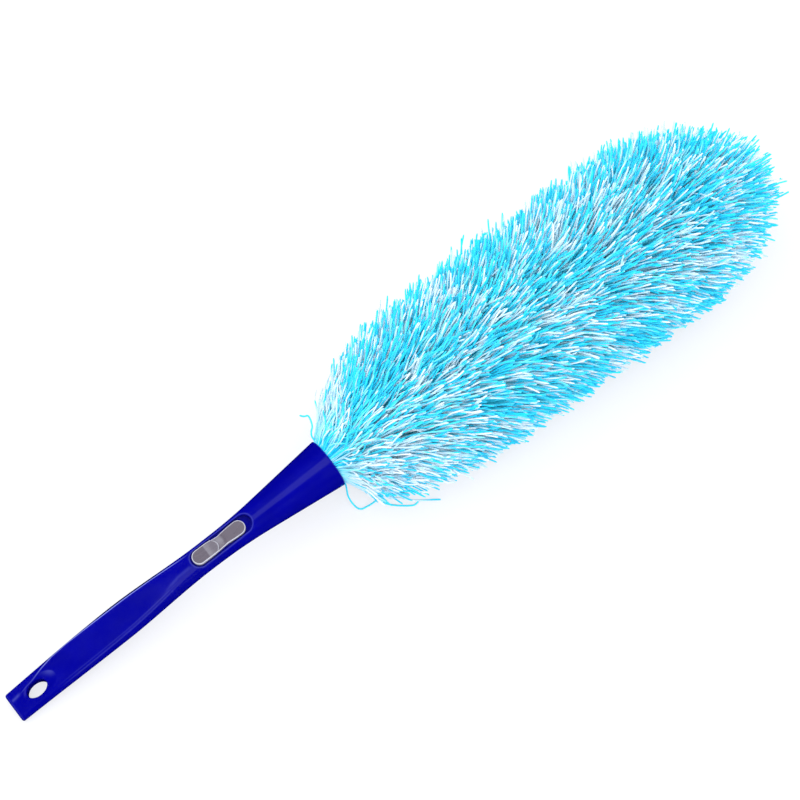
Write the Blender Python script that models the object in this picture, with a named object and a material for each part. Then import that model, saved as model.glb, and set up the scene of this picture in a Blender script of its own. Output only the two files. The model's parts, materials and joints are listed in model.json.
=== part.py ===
"""A yarn hand duster lying on a table, button up.

Lengths are metres. Every piece is built in the duster's own frame, whose X runs along the
socket's axis from the mouth towards the tip, and one empty then lays that frame on the table.
"""

import math
import random

import bmesh
import bpy
import numpy as np

# Clearances shared by all pieces
GAP = 0.0003
OVERRUN = 0.004

# How the duster lies
TILT = math.radians(3.0)
REST_FLAT_DEPTH = 0.0006

# Handle, along its length: the grip from the free end, the rest back from the mouth
HANDLE_LENGTH = 0.277
GRIP_AT = 0.092
FLAT_END_SETBACK = 0.117
NECK_SETBACK = 0.110
ARCH_SETBACK = 0.087
ARCH_DROP = 0.016

# Handle, across: the top is taller than its flat, which cuts it
END_WIDTH = 0.0225
GRIP_WIDTH = 0.0256
NECK_WIDTH = 0.0198
END_TOP = 0.0075
GRIP_TOP = 0.0100
NECK_TOP = 0.0086
END_FLAT = 0.0045
GRIP_FLAT = 0.0068
END_BOTTOM = 0.0045
GRIP_BOTTOM = 0.0072
NECK_BOTTOM = 0.0086
END_ROUNDING = 0.0016
FLARE_BLEND = 0.0022
WALL = 0.0022

# Socket cone
MOUTH_DIAMETER = 0.0380
CONE_LENGTH = 0.085
CONE_ROOT_DIAMETER = 0.0195
RIM_ROUNDING = 0.0007
SOCKET_DEPTH = 0.064

# Hang hole
HOLE_AT = 0.021
HOLE_LENGTH = 0.016
HOLE_WIDTH = 0.0104
DISH_LENGTH = 0.026
DISH_WIDTH = 0.0150
DISH_DEPTH = 0.0011
DISH_SHIFT = 0.0015

# Back cover, from near the free end to under the neck, and its screws
COVER_START = 0.038
COVER_END_SETBACK = 0.072
COVER_FACE_AT_START = 0.0016
COVER_FACE_AT_NECK = 0.0051
CAVITY_END_GAP = 0.002
POST_RADIUS = 0.0032
FIRST_SCREW_INSET = 0.014
LAST_SCREW_SETBACK = 0.131
COVER_SCREWS = 3
SCREW_LENGTH = 0.0070
SCREW_RADIUS = 0.0013
SCREW_HEAD_RADIUS = 0.0027
SCREW_HEAD_HEIGHT = 0.0014
COUNTERBORE_DEPTH = 0.0019
SLOT_WIDTH = 0.0007
SLOT_DEPTH = 0.0006

# Release button and its recess, back from the mouth
BUTTON_REAR_SETBACK = 0.119
BUTTON_LENGTH = 0.048
BUTTON_WIDTH = 0.0121
BUTTON_TRAVEL = 0.004
BUTTON_GAP = 0.0005
RECESS_FLOOR = 0.0050
FLOOR_WALL = 0.0015
BUTTON_TOP = 0.0091
BUTTON_CHAMFER = 0.0007
SCOOP_DEPTH = 0.0016
SCOOP_LENGTH = 0.0200
STEM_LENGTH = 0.012
STEM_WIDTH = 0.0044

# Release slide under the recess
SLIDE_LENGTH = 0.040
SLIDE_WIDTH = 0.0116
SLIDE_THICKNESS = 0.0018
SLIDE_FRONT_SETBACK = 0.007
LEG_LENGTH = 0.0040
LEG_WIDTH = 0.0060
PEG_RADIUS = 0.0013
PEG_LENGTH = 0.0030
SLIDE_SCREW_RADIUS = 0.0009
SLIDE_SCREW_HEAD_RADIUS = 0.0018
SLIDE_SCREW_HEAD_HEIGHT = 0.0010
SLIDE_SCREW_LENGTH = 0.0042

# Return spring between the slide's leg and the socket's back wall
SPRING_WALL = 0.002
SPRING_RADIUS = 0.0022
SPRING_WIRE_RADIUS = 0.0003
SPRING_AXIS_HEIGHT = 0.0006
SPRING_CURLS = 6

# Latch leaf
LEAF_THICKNESS = 0.0005
LEAF_WIDTH = 0.0050
LEAF_REAR_INSET = 0.001
LEAF_CLAMP_LENGTH = 0.006
LEAF_FLEX = 0.0014
BUMP_HEIGHT = 0.0017
BUMP_LENGTH = 0.0050
HOOK_HEIGHT = 0.0014
HOOK_LENGTH = 0.0022

# Plug
PLUG_SETBACK = 0.012
PLUG_NOSE_RADIUS = 0.0038
PLUG_NOSE_LENGTH = 0.0100
GROOVE_RADIUS = 0.0024
GROOVE_LENGTH = 0.0034
NOSE_CHAMFER = 0.0010
PLUG_CLEARANCE = 0.0004
KEY_WIDTH = 0.0030
KEY_HEIGHT = 0.0016
KEY_LENGTH = 0.024
PLUG_BORE_DEPTH = 0.030

# Core of the head
ROD_RADIUS = 0.0020
SLEEVE_RADIUS = 0.0045
BACKING_RADIUS = 0.0088
CLAMP_RADIUS = 0.0125
CLAMP_LENGTH = 0.0054
CORE_LENGTH = 0.334
SLEEVE_SETBACK = 0.003
BACKING_SETBACK = 0.012
CAP_LENGTH = 0.0070
CAP_WALL = 0.0012

# Yarn pile
PILE_LENGTH = 0.374
PILE_RADIUS = 0.0640
PILE_ROOT_LENGTH = 0.006
PILE_ROOT_RADIUS = 0.0135
PILE_ROWS = 16
PILE_LOCKS_ROUND = 24
LOCK_JITTER_SHARE = 0.12
LOCK_SHRINK_SHARES = (0.75, 0.36)
LOCK_LEVEL_SHARES = (0.45, 1.0)
SQUASH_HEIGHT = 0.030
PILE_FLAT_DEPTH = 0.0005

# Where the locks' tips and roots lie, as shares of the pile's length and radius
TIP_SHARES = (
    (0.022, 0.58),
    (0.080, 0.77),
    (0.140, 0.90),
    (0.200, 0.97),
    (0.280, 1.00),
    (0.500, 1.01),
    (0.800, 1.00),
    (0.870, 0.90),
    (0.920, 0.76),
    (0.960, 0.60),
    (0.985, 0.42),
    (1.000, 0.20),
)
ROOT_SHARES = (
    (0.004, 0.225),
    (0.030, 0.30),
    (0.080, 0.42),
    (0.130, 0.52),
    (0.200, 0.58),
    (0.420, 0.62),
    (0.720, 0.62),
    (0.800, 0.57),
    (0.850, 0.49),
    (0.885, 0.39),
    (0.910, 0.28),
    (0.925, 0.17),
)

# Roundness of the handle's sections and how finely they are drawn
GRIP_POWER = 2.5
ROUND_POWER = 2.0
CREASE_LIMIT = math.radians(83)
SIDE_STEPS = 5
FLAT_STEPS = 3
LOW_STEPS = 6
ROUND_STEPS = 24
SMALL_ROUND_STEPS = 14
OVAL_STEPS = 20
DISH_RINGS = 4
BODY_STATIONS = 26
FLARE_STATIONS = 15
COVER_STATIONS = 22
CAVITY_STATIONS = 16
BUTTON_END_STEPS = 7
BUTTON_MIDDLE_STEPS = 14
SPRING_STEPS_PER_CURL = 9
SMOOTH_ANGLE = math.radians(35)
LOCK_SMOOTH_ANGLE = math.radians(60)

BLUE = (0.0035, 0.0035, 0.31)
GREY = (0.24, 0.22, 0.26)
NATURAL = (0.72, 0.72, 0.70)
STEEL = (0.55, 0.55, 0.56)
PALE = (0.80, 0.86, 0.90)
CYAN = (0.10, 0.62, 0.95)

# Places along the handle from its free end
FLAT_END_AT = HANDLE_LENGTH - FLAT_END_SETBACK
NECK_AT = HANDLE_LENGTH - NECK_SETBACK
ARCH_AT = HANDLE_LENGTH - ARCH_SETBACK
COVER_END = HANDLE_LENGTH - COVER_END_SETBACK
FIRST_SCREW_AT = COVER_START + FIRST_SCREW_INSET
LAST_SCREW_AT = HANDLE_LENGTH - LAST_SCREW_SETBACK
SCREW_PLACES = tuple(
    FIRST_SCREW_AT + (LAST_SCREW_AT - FIRST_SCREW_AT) * i / (COVER_SCREWS - 1) for i in range(COVER_SCREWS)
)


# Curves

def smooth_through(points):
    """A monotone curve through the given points, as a function."""
    xs = np.array([p[0] for p in points], float)
    ys = np.array([p[1] for p in points], float)
    steps = np.diff(xs)
    slopes = np.diff(ys) / steps
    tangents = np.zeros(len(xs))
    for i in range(1, len(xs) - 1):
        before, after = slopes[i - 1], slopes[i]
        if before * after > 0:
            weight_a = 2 * steps[i] + steps[i - 1]
            weight_b = steps[i] + 2 * steps[i - 1]
            tangents[i] = (weight_a + weight_b) / (weight_a / before + weight_b / after)
    tangents[0] = slopes[0]
    tangents[-1] = slopes[-1]

    def value(x):
        x = min(max(x, xs[0]), xs[-1])
        i = int(min(np.searchsorted(xs, x, side="right") - 1, len(steps) - 1))
        t = (x - xs[i]) / steps[i]
        rise = ys[i] * (1 + 2 * t) * (1 - t) ** 2 + ys[i + 1] * t * t * (3 - 2 * t)
        lean = tangents[i] * t * (1 - t) ** 2 - tangents[i + 1] * t * t * (1 - t)
        return float(rise + lean * steps[i])

    return value


def smooth_max(a, b, blend):
    return (a + b + math.sqrt((a - b) ** 2 + blend**2)) / 2


def smooth_step(x, low, high):
    t = min(max((x - low) / (high - low), 0), 1)
    return t * t * (3 - 2 * t)


# The handle's outer shape at a distance s from its free end

width_along = smooth_through(
    [(0, END_WIDTH), (GRIP_AT, GRIP_WIDTH), (NECK_AT, NECK_WIDTH), (HANDLE_LENGTH, NECK_WIDTH)]
)
top_along = smooth_through(
    [(0, END_TOP), (GRIP_AT, GRIP_TOP), (NECK_AT, NECK_TOP), (HANDLE_LENGTH, NECK_TOP)]
)
flat_along = smooth_through(
    [(0, END_FLAT), (GRIP_AT, GRIP_FLAT), (FLAT_END_AT, NECK_TOP), (HANDLE_LENGTH, MOUTH_DIAMETER)]
)
bottom_along = smooth_through(
    [(0, END_BOTTOM), (GRIP_AT, GRIP_BOTTOM), (NECK_AT, NECK_BOTTOM), (HANDLE_LENGTH, NECK_BOTTOM)]
)
cover_face_along = smooth_through([(COVER_START, COVER_FACE_AT_START), (NECK_AT, COVER_FACE_AT_NECK)])


def along(x):
    return x + HANDLE_LENGTH


def cone_radius(s):
    left = HANDLE_LENGTH - s
    return (MOUTH_DIAMETER - (MOUTH_DIAMETER - CONE_ROOT_DIAMETER) * left / CONE_LENGTH) / 2


def centre_height(s):
    return -ARCH_DROP * (max(ARCH_AT - s, 0) / ARCH_AT) ** 2


def edge_inset(s):
    """How far the section draws in at the rounded free end and at the rim."""
    inset = 0
    for rounding, distance in ((END_ROUNDING, s), (RIM_ROUNDING, HANDLE_LENGTH - s)):
        if distance < rounding:
            inset += rounding - math.sqrt(rounding**2 - (rounding - distance) ** 2)
    return inset


def section_sizes(s):
    """Half width, top, flat and bottom of the section, from the handle's centre line."""
    cone = cone_radius(s)
    inset = edge_inset(s)
    half_width = smooth_max(width_along(s) / 2, cone, FLARE_BLEND / 2) - inset
    top = smooth_max(top_along(s), cone, FLARE_BLEND / 2) - inset
    bottom = smooth_max(bottom_along(s), cone, FLARE_BLEND / 2) - inset
    flat = flat_along(s) - inset
    power = GRIP_POWER + (ROUND_POWER - GRIP_POWER) * smooth_step(s, ARCH_AT, HANDLE_LENGTH - SOCKET_DEPTH)
    return half_width, top, flat, bottom, power


def superellipse(angle, half_width, height, power):
    return (
        half_width * math.cos(angle) ** (2 / power),
        height * math.sin(angle) ** (2 / power),
    )


def handle_section(s):
    """The section's outline, counter-clockwise seen from the tip, as points across and up."""
    half_width, top, flat, bottom, power = section_sizes(s)
    crease = CREASE_LIMIT
    if flat < top:
        crease = min(crease, math.asin((flat / top) ** (power / 2)))
    side = [superellipse(crease * i / SIDE_STEPS, half_width, top, power) for i in range(SIDE_STEPS + 1)]
    flat_half, flat_height = side[-1]
    across = [1 - 2 * i / FLAT_STEPS for i in range(1, FLAT_STEPS)]
    low = []
    for i in range(1, 2 * LOW_STEPS):
        angle = math.pi * i / (2 * LOW_STEPS)
        y, z = superellipse(min(angle, math.pi - angle), half_width, bottom, power)
        low.append((-y if angle < math.pi / 2 else y, -z))
    points = side + [(flat_half * share, flat_height) for share in across]
    points += [(-y, z) for y, z in reversed(side)] + low
    centre = centre_height(s)
    return [(y, z + centre) for y, z in points]


# Mesh helpers

def make_material(name, colour, roughness, metallic=0.0):
    material = bpy.data.materials.new(name)
    material.use_nodes = True
    shader = material.node_tree.nodes["Principled BSDF"]
    shader.inputs["Base Color"].default_value = (*colour, 1)
    shader.inputs["Roughness"].default_value = roughness
    shader.inputs["Metallic"].default_value = metallic
    material.diffuse_color = (*colour, 1)
    return material


def add_object(name, mesh, parent, material=None):
    obj = bpy.data.objects.new(name, mesh)
    bpy.context.scene.collection.objects.link(obj)
    obj.parent = parent
    if material:
        mesh.materials.append(material)
    return obj


def mesh_of(name, shape, smooth_angle=SMOOTH_ANGLE):
    bmesh.ops.recalc_face_normals(shape, faces=shape.faces[:])
    mesh = bpy.data.meshes.new(name)
    shape.to_mesh(mesh)
    shape.free()
    mesh.shade_smooth()
    mesh.set_sharp_from_angle(angle=smooth_angle)
    return mesh


def loft(name, rings, smooth_angle=SMOOTH_ANGLE):
    """A closed solid through rings that have the same number of points."""
    shape = bmesh.new()
    loops = [[shape.verts.new(point) for point in ring] for ring in rings]
    for a, b in zip(loops, loops[1:]):
        for i in range(len(a)):
            j = (i + 1) % len(a)
            shape.faces.new((a[i], a[j], b[j], b[i]))
    shape.faces.new(loops[0])
    shape.faces.new(loops[-1])
    return mesh_of(name, shape, smooth_angle)


def turned(name, profile, steps=ROUND_STEPS):
    """A solid turned about X from (x, radius) points. A profile that ends at its start is a tube."""
    shape = bmesh.new()
    closed = profile[0] == profile[-1]
    points = profile[:-1] if closed else profile
    loops = []
    for x, radius in points:
        angles = [2 * math.pi * i / steps for i in range(steps)]
        loops.append([shape.verts.new((x, radius * math.cos(a), radius * math.sin(a))) for a in angles])
    pairs = list(zip(loops, loops[1:]))
    if closed:
        pairs.append((loops[-1], loops[0]))
    else:
        shape.faces.new(loops[0])
        shape.faces.new(loops[-1])
    for a, b in pairs:
        for i in range(steps):
            j = (i + 1) % steps
            shape.faces.new((a[i], a[j], b[j], b[i]))
    return mesh_of(name, shape)


def upright_rectangle(x, half_width, low, high):
    return [(x, half_width, low), (x, half_width, high), (x, -half_width, high), (x, -half_width, low)]


def box_rings(stations, half_width, low, high):
    """Rectangular rings along X. The three functions give the sizes at each station."""
    return [upright_rectangle(x, half_width(x), low(x), high(x)) for x in stations]


def box(name, x_range, half_width, z_range):
    rings = box_rings(x_range, lambda x: half_width, lambda x: z_range[0], lambda x: z_range[1])
    return loft(name, rings)


def stadium_half_width(x, start, end, half_width):
    """Half width at x of an outline with half-round ends."""
    from_end = max(min(x - start, end - x), 0)
    if from_end >= half_width:
        return half_width
    return math.sqrt(half_width**2 - (half_width - from_end) ** 2)


def stadium_stations(start, end, half_width, steps, middle_steps):
    """Stations along an outline with half-round ends, leaving out its two end points."""
    turn = [half_width * (1 - math.cos(math.pi / 2 * i / steps)) for i in range(1, steps + 1)]
    middle = [
        start + half_width + (end - start - 2 * half_width) * i / middle_steps
        for i in range(1, middle_steps)
    ]
    return [start + t for t in turn] + middle + [end - t for t in reversed(turn)]


def stadium_solid(name, start, end, half_width, low, high, steps=6):
    stations = stadium_stations(start, end, half_width, steps, 1)
    rings = box_rings(
        stations,
        lambda x: stadium_half_width(x, start, end, half_width),
        lambda x: low,
        lambda x: high,
    )
    return loft(name, rings)


def upright(name, x, radius, low, high, steps=SMALL_ROUND_STEPS, stretch=1):
    """A round or oval column that stands along Z."""
    shape = bmesh.new()
    loops = []
    for z in (low, high):
        angles = [2 * math.pi * i / steps for i in range(steps)]
        loops.append(
            [shape.verts.new((x + radius * stretch * math.cos(a), radius * math.sin(a), z)) for a in angles]
        )
    for i in range(steps):
        j = (i + 1) % steps
        shape.faces.new((loops[0][i], loops[0][j], loops[1][j], loops[1][i]))
    shape.faces.new(loops[0])
    shape.faces.new(loops[1])
    return mesh_of(name, shape)


def combine(target, mesh, operation="DIFFERENCE", parent=None):
    """Cuts, joins or trims the target with a hidden tool of its own."""
    tool = add_object(f"{target.name}_tool_{len(target.modifiers) + 1}", mesh, parent or target.parent)
    tool.hide_render = True
    tool.display_type = "WIRE"
    modifier = target.modifiers.new(tool.name, "BOOLEAN")
    modifier.operation = operation
    modifier.solver = "EXACT"
    modifier.object = tool
    return tool


# Handle

def handle_stations():
    ends = [0, END_ROUNDING / 8, END_ROUNDING / 2, END_ROUNDING]
    body = list(np.linspace(END_ROUNDING, ARCH_AT, BODY_STATIONS)[1:-1])
    flare = list(np.linspace(ARCH_AT, HANDLE_LENGTH - RIM_ROUNDING, FLARE_STATIONS))
    rim = [HANDLE_LENGTH - RIM_ROUNDING / 3, HANDLE_LENGTH]
    return ends + body + flare + rim


def handle_outer(name):
    rings = [[(s - HANDLE_LENGTH, y, z) for y, z in handle_section(s)] for s in handle_stations()]
    return loft(name, rings)


def below_cover_face(name, start, end, sink):
    """Everything under the cover's inner face between two places along the handle."""
    stations = [s - HANDLE_LENGTH for s in np.linspace(start, end, COVER_STATIONS)]
    return loft(
        name,
        box_rings(
            stations,
            lambda x: GRIP_WIDTH / 2 + OVERRUN,
            lambda x: centre_height(along(x)) - NECK_BOTTOM - 2 * OVERRUN,
            lambda x: centre_height(along(x)) - cover_face_along(along(x)) - sink,
        ),
    )


def socket_radius(x):
    return cone_radius(along(x)) - WALL


TAPER_START = PLUG_NOSE_LENGTH - SOCKET_DEPTH
NECK_CAVITY_FRONT = -SOCKET_DEPTH - SPRING_WALL
CAVITY_TOP_UNDER_FLOOR = RECESS_FLOOR - FLOOR_WALL
BUTTON_REAR = -BUTTON_REAR_SETBACK
BUTTON_FRONT = BUTTON_REAR + BUTTON_LENGTH
RECESS_REAR = BUTTON_REAR - BUTTON_GAP
RECESS_FRONT = BUTTON_FRONT + BUTTON_TRAVEL + BUTTON_GAP
BUTTON_MIDDLE = (BUTTON_REAR + BUTTON_FRONT) / 2
LEAF_HEIGHT = -COVER_FACE_AT_NECK + GAP + LEAF_THICKNESS / 2
HOOK_AT = TAPER_START - PLUG_NOSE_LENGTH / 2
LEG_FRONT = BUTTON_FRONT - SLIDE_FRONT_SETBACK
LEG_BOTTOM = LEAF_HEIGHT + LEAF_THICKNESS / 2 + GAP
SLIDE_TOP = CAVITY_TOP_UNDER_FLOOR - GAP


def cavity_tool():
    """The hollow of grip and neck, which leaves the screw posts and the leaf's clamp standing."""
    start = COVER_START + CAVITY_END_GAP - HANDLE_LENGTH
    stations = list(np.linspace(start, RECESS_REAR - WALL, CAVITY_STATIONS))
    stations += [RECESS_REAR, NECK_CAVITY_FRONT]

    def high(x):
        top, flat = section_sizes(along(x))[1:3]
        open_top = centre_height(along(x)) + min(flat, top) - WALL
        return min(open_top, CAVITY_TOP_UNDER_FLOOR) if x >= RECESS_REAR - WALL else open_top

    def half_width_inside(x):
        return min(section_sizes(along(x))[0], NECK_WIDTH / 2) - WALL - GAP

    rings = box_rings(
        stations,
        half_width_inside,
        lambda x: centre_height(along(x)) - cover_face_along(along(x)) - OVERRUN / 2,
        high,
    )
    return loft("cavity", rings)


def build_handle_body(parent, table):
    material = make_material("handle_blue", BLUE, 0.22)
    body = add_object("handle_body", handle_outer("handle_body"), parent, material)
    combine(body, below_cover_face("cover_space", COVER_START, COVER_END, 0))

    cavity = combine(body, cavity_tool())
    for place in SCREW_PLACES:
        x = place - HANDLE_LENGTH
        z = centre_height(place)
        combine(cavity, upright("post", x, POST_RADIUS, z - NECK_BOTTOM, z + GRIP_TOP))
    clamp_x = (BUTTON_REAR, BUTTON_REAR + LEAF_CLAMP_LENGTH)
    clamp_z = (LEAF_HEIGHT + LEAF_THICKNESS / 2 + GAP, LEG_BOTTOM + LEAF_CLAMP_LENGTH / 2)
    combine(cavity, box("clamp_rib", clamp_x, NECK_WIDTH, clamp_z))

    bore = combine(
        body,
        turned(
            "socket",
            [
                (-SOCKET_DEPTH, PLUG_NOSE_RADIUS + PLUG_CLEARANCE),
                (TAPER_START, PLUG_NOSE_RADIUS + PLUG_CLEARANCE),
                (TAPER_START, socket_radius(TAPER_START)),
                (0, socket_radius(0)),
                (OVERRUN, socket_radius(0)),
            ],
        ),
    )
    key_x = (-PLUG_SETBACK - KEY_LENGTH, -PLUG_SETBACK)
    combine(
        bore,
        loft(
            "key",
            box_rings(
                key_x,
                lambda x: KEY_WIDTH / 2,
                lambda x: -socket_radius(x) - WALL,
                lambda x: -socket_radius(x) + KEY_HEIGHT,
            ),
        ),
    )

    channel_x = (COVER_END - HANDLE_LENGTH - OVERRUN, TAPER_START + GAP)
    channel_z = (LEAF_HEIGHT - LEAF_THICKNESS / 2 - LEAF_FLEX, -PLUG_NOSE_RADIUS / 2)
    combine(body, box("leaf_channel", channel_x, LEAF_WIDTH / 2 + GAP, channel_z))

    combine(
        body,
        stadium_solid(
            "recess",
            RECESS_REAR,
            RECESS_FRONT,
            BUTTON_WIDTH / 2 + BUTTON_GAP,
            RECESS_FLOOR,
            MOUTH_DIAMETER / 2,
        ),
    )
    slot_rear = BUTTON_MIDDLE - STEM_LENGTH / 2 - BUTTON_GAP
    slot_front = BUTTON_MIDDLE + STEM_LENGTH / 2 + BUTTON_TRAVEL + BUTTON_GAP
    slot_z = (CAVITY_TOP_UNDER_FLOOR - GAP, RECESS_FLOOR + GAP)
    combine(body, box("stem_slot", (slot_rear, slot_front), STEM_WIDTH / 2 + BUTTON_GAP, slot_z))

    hole_x = HOLE_AT - HANDLE_LENGTH
    hole_z = centre_height(HOLE_AT)
    combine(
        body,
        upright(
            "hang_hole",
            hole_x,
            HOLE_WIDTH / 2,
            hole_z - GRIP_TOP,
            hole_z + GRIP_TOP,
            OVAL_STEPS,
            HOLE_LENGTH / HOLE_WIDTH,
        ),
    )
    combine(body, dish_tool(hole_x + DISH_SHIFT, hole_z + flat_along(HOLE_AT)))

    for place in SCREW_PLACES:
        top = screw_seat(place) + SCREW_LENGTH + GAP
        low = screw_seat(place)
        combine(body, upright("pilot", place - HANDLE_LENGTH, SCREW_RADIUS + GAP, low, top))
    combine(body, table, parent=parent.parent)
    return body


def dish_tool(x, z):
    """A shallow oval bowl round the hang hole."""
    shape = bmesh.new()
    loops = []
    for k in range(DISH_RINGS):
        angle = math.pi / 2 * k / DISH_RINGS
        spread, depth = math.cos(angle), math.sin(angle)
        turn = [2 * math.pi * i / OVAL_STEPS for i in range(OVAL_STEPS)]
        loops.append([
            shape.verts.new((
                x + DISH_LENGTH / 2 * spread * math.cos(a),
                DISH_WIDTH / 2 * spread * math.sin(a),
                z - DISH_DEPTH * depth,
            ))
            for a in turn
        ])
    lid = [shape.verts.new((v.co.x, v.co.y, z + OVERRUN)) for v in loops[0]]
    loops.insert(0, lid)
    for a, b in zip(loops, loops[1:]):
        for i in range(OVAL_STEPS):
            j = (i + 1) % OVAL_STEPS
            shape.faces.new((a[i], a[j], b[j], b[i]))
    shape.faces.new(loops[0])
    shape.faces.new(loops[-1])
    return mesh_of("dish", shape)


def screw_seat(place):
    """Height of the face that a cover screw's head bears on."""
    return centre_height(place) - bottom_along(place) + COUNTERBORE_DEPTH


def build_back_cover(parent):
    material = make_material("cover_blue", BLUE, 0.30)
    cover = add_object("handle_back_cover", handle_outer("handle_back_cover"), parent, material)
    combine(cover, below_cover_face("cover_block", COVER_START + GAP, COVER_END - GAP, GAP), "INTERSECT")
    for place in SCREW_PLACES:
        x = place - HANDLE_LENGTH
        seat = screw_seat(place)
        face = centre_height(place)
        combine(cover, upright("screw_way", x, SCREW_RADIUS + GAP, seat - GAP, face))
        combine(cover, upright("counterbore", x, SCREW_HEAD_RADIUS + GAP, seat - GRIP_BOTTOM, seat))
    relief_x = (BUTTON_REAR + LEAF_CLAMP_LENGTH + CAVITY_END_GAP, COVER_END - HANDLE_LENGTH + OVERRUN)
    relief_z = (LEAF_HEIGHT - LEAF_THICKNESS / 2 - LEAF_FLEX, 0)
    combine(cover, box("leaf_relief", relief_x, LEAF_WIDTH / 2 + GAP, relief_z))
    return cover


def screw_mesh(name, radius, length, head_radius, head_height):
    """A pan-head screw along Z, its head underneath and its seat at the origin."""
    shape = bmesh.new()
    profile = [
        (head_radius - SLOT_DEPTH / 2, -head_height),
        (head_radius, -head_height + SLOT_DEPTH / 2),
        (head_radius, -GAP),
        (radius, -GAP),
        (radius, length - radius),
        (radius / 3, length),
    ]
    loops = []
    for r, z in profile:
        angles = [2 * math.pi * i / SMALL_ROUND_STEPS for i in range(SMALL_ROUND_STEPS)]
        loops.append([shape.verts.new((r * math.cos(a), r * math.sin(a), z)) for a in angles])
    for a, b in zip(loops, loops[1:]):
        for i in range(SMALL_ROUND_STEPS):
            j = (i + 1) % SMALL_ROUND_STEPS
            shape.faces.new((a[i], a[j], b[j], b[i]))
    shape.faces.new(loops[0])
    shape.faces.new(loops[-1])
    return mesh_of(name, shape)


def build_cover_screws(parent):
    material = make_material("screw_steel", STEEL, 0.35, 1.0)
    for number, place in enumerate(SCREW_PLACES, 1):
        mesh = screw_mesh(
            f"cover_screw_{number}",
            SCREW_RADIUS,
            SCREW_LENGTH,
            SCREW_HEAD_RADIUS,
            SCREW_HEAD_HEIGHT,
        )
        screw = add_object(f"cover_screw_{number}", mesh, parent, material)
        screw.location = (place - HANDLE_LENGTH, 0, screw_seat(place))
        slot = box(
            "slot",
            (-2 * SCREW_HEAD_RADIUS, 2 * SCREW_HEAD_RADIUS),
            SLOT_WIDTH / 2,
            (-SCREW_HEAD_HEIGHT - OVERRUN, -SCREW_HEAD_HEIGHT + SLOT_DEPTH),
        )
        combine(screw, slot, parent=screw)


def build_latch_leaf(parent):
    """A flat spring strip with a bump for the slide's leg and a hook for the plug's groove."""
    start = BUTTON_REAR + LEAF_REAR_INSET
    bump_start = LEG_FRONT + GAP
    hook_end = HOOK_AT + HOOK_LENGTH
    middle_line = [
        (start, 0),
        (bump_start, 0),
        (bump_start + BUMP_LENGTH / 2, BUMP_HEIGHT),
        (bump_start + BUMP_LENGTH, 0),
        (HOOK_AT - HOOK_LENGTH, 0),
        (HOOK_AT - HOOK_LENGTH / 4, HOOK_HEIGHT),
        (HOOK_AT + HOOK_LENGTH / 4, HOOK_HEIGHT),
        (hook_end, 0),
    ]
    rings = []
    for x, rise in middle_line:
        low = LEAF_HEIGHT + rise - LEAF_THICKNESS / 2
        rings.append(upright_rectangle(x, LEAF_WIDTH / 2, low, low + LEAF_THICKNESS))
    material = make_material("leaf_steel", STEEL, 0.30, 1.0)
    return add_object("latch_leaf", loft("latch_leaf", rings), parent, material)


def build_return_spring(parent):
    """A helical wire whose first and last points lie clear of the leg and of the wall."""
    start = LEG_FRONT + GAP + SPRING_WIRE_RADIUS
    end = NECK_CAVITY_FRONT - GAP - SPRING_WIRE_RADIUS
    count = SPRING_CURLS * SPRING_STEPS_PER_CURL
    curve = bpy.data.curves.new("return_spring", "CURVE")
    curve.dimensions = "3D"
    curve.bevel_depth = SPRING_WIRE_RADIUS
    curve.bevel_resolution = 1
    curve.use_fill_caps = True
    line = curve.splines.new("POLY")
    line.points.add(count)
    for i in range(count + 1):
        angle = 2 * math.pi * i / SPRING_STEPS_PER_CURL
        x = start + (end - start) * i / count
        y = SPRING_RADIUS * math.cos(angle)
        z = SPRING_AXIS_HEIGHT + SPRING_RADIUS * math.sin(angle)
        line.points[i].co = (x, y, z, 1)
    return add_object("return_spring", curve, parent, make_material("spring_steel", STEEL, 0.30, 1.0))


# Button and slide

def button_top(x):
    """Height of the thumb face: two pads with a scoop between them."""
    from_middle = abs(x - BUTTON_MIDDLE) / (SCOOP_LENGTH / 2)
    scoop = SCOOP_DEPTH * (1 - smooth_step(from_middle, 0, 1))
    return BUTTON_TOP - scoop


def build_release_button(parent):
    half_width = BUTTON_WIDTH / 2
    low = RECESS_FLOOR + GAP
    stations = stadium_stations(
        BUTTON_REAR, BUTTON_FRONT, half_width, BUTTON_END_STEPS, BUTTON_MIDDLE_STEPS
    )
    rings = []
    for x in stations:
        w = stadium_half_width(x, BUTTON_REAR, BUTTON_FRONT, half_width)
        top = button_top(x)
        inner = max(w - BUTTON_CHAMFER, w / 2)
        rings.append([
            (x, w, low),
            (x, w, top - BUTTON_CHAMFER),
            (x, inner, top),
            (x, -inner, top),
            (x, -w, top - BUTTON_CHAMFER),
            (x, -w, low),
        ])
    material = make_material("button_grey", GREY, 0.35)
    button = add_object("release_button", loft("release_button", rings), parent, material)
    stem_x = (BUTTON_MIDDLE - STEM_LENGTH / 2, BUTTON_MIDDLE + STEM_LENGTH / 2)
    stem_z = (CAVITY_TOP_UNDER_FLOOR, RECESS_FLOOR + 2 * GAP)
    combine(button, box("stem", stem_x, STEM_WIDTH / 2, stem_z), "UNION")
    pilot_top = SLIDE_TOP - SLIDE_THICKNESS + SLIDE_SCREW_LENGTH + GAP
    combine(button, upright("pilot", BUTTON_MIDDLE, SLIDE_SCREW_RADIUS + GAP, 0, pilot_top))
    return button


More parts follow.
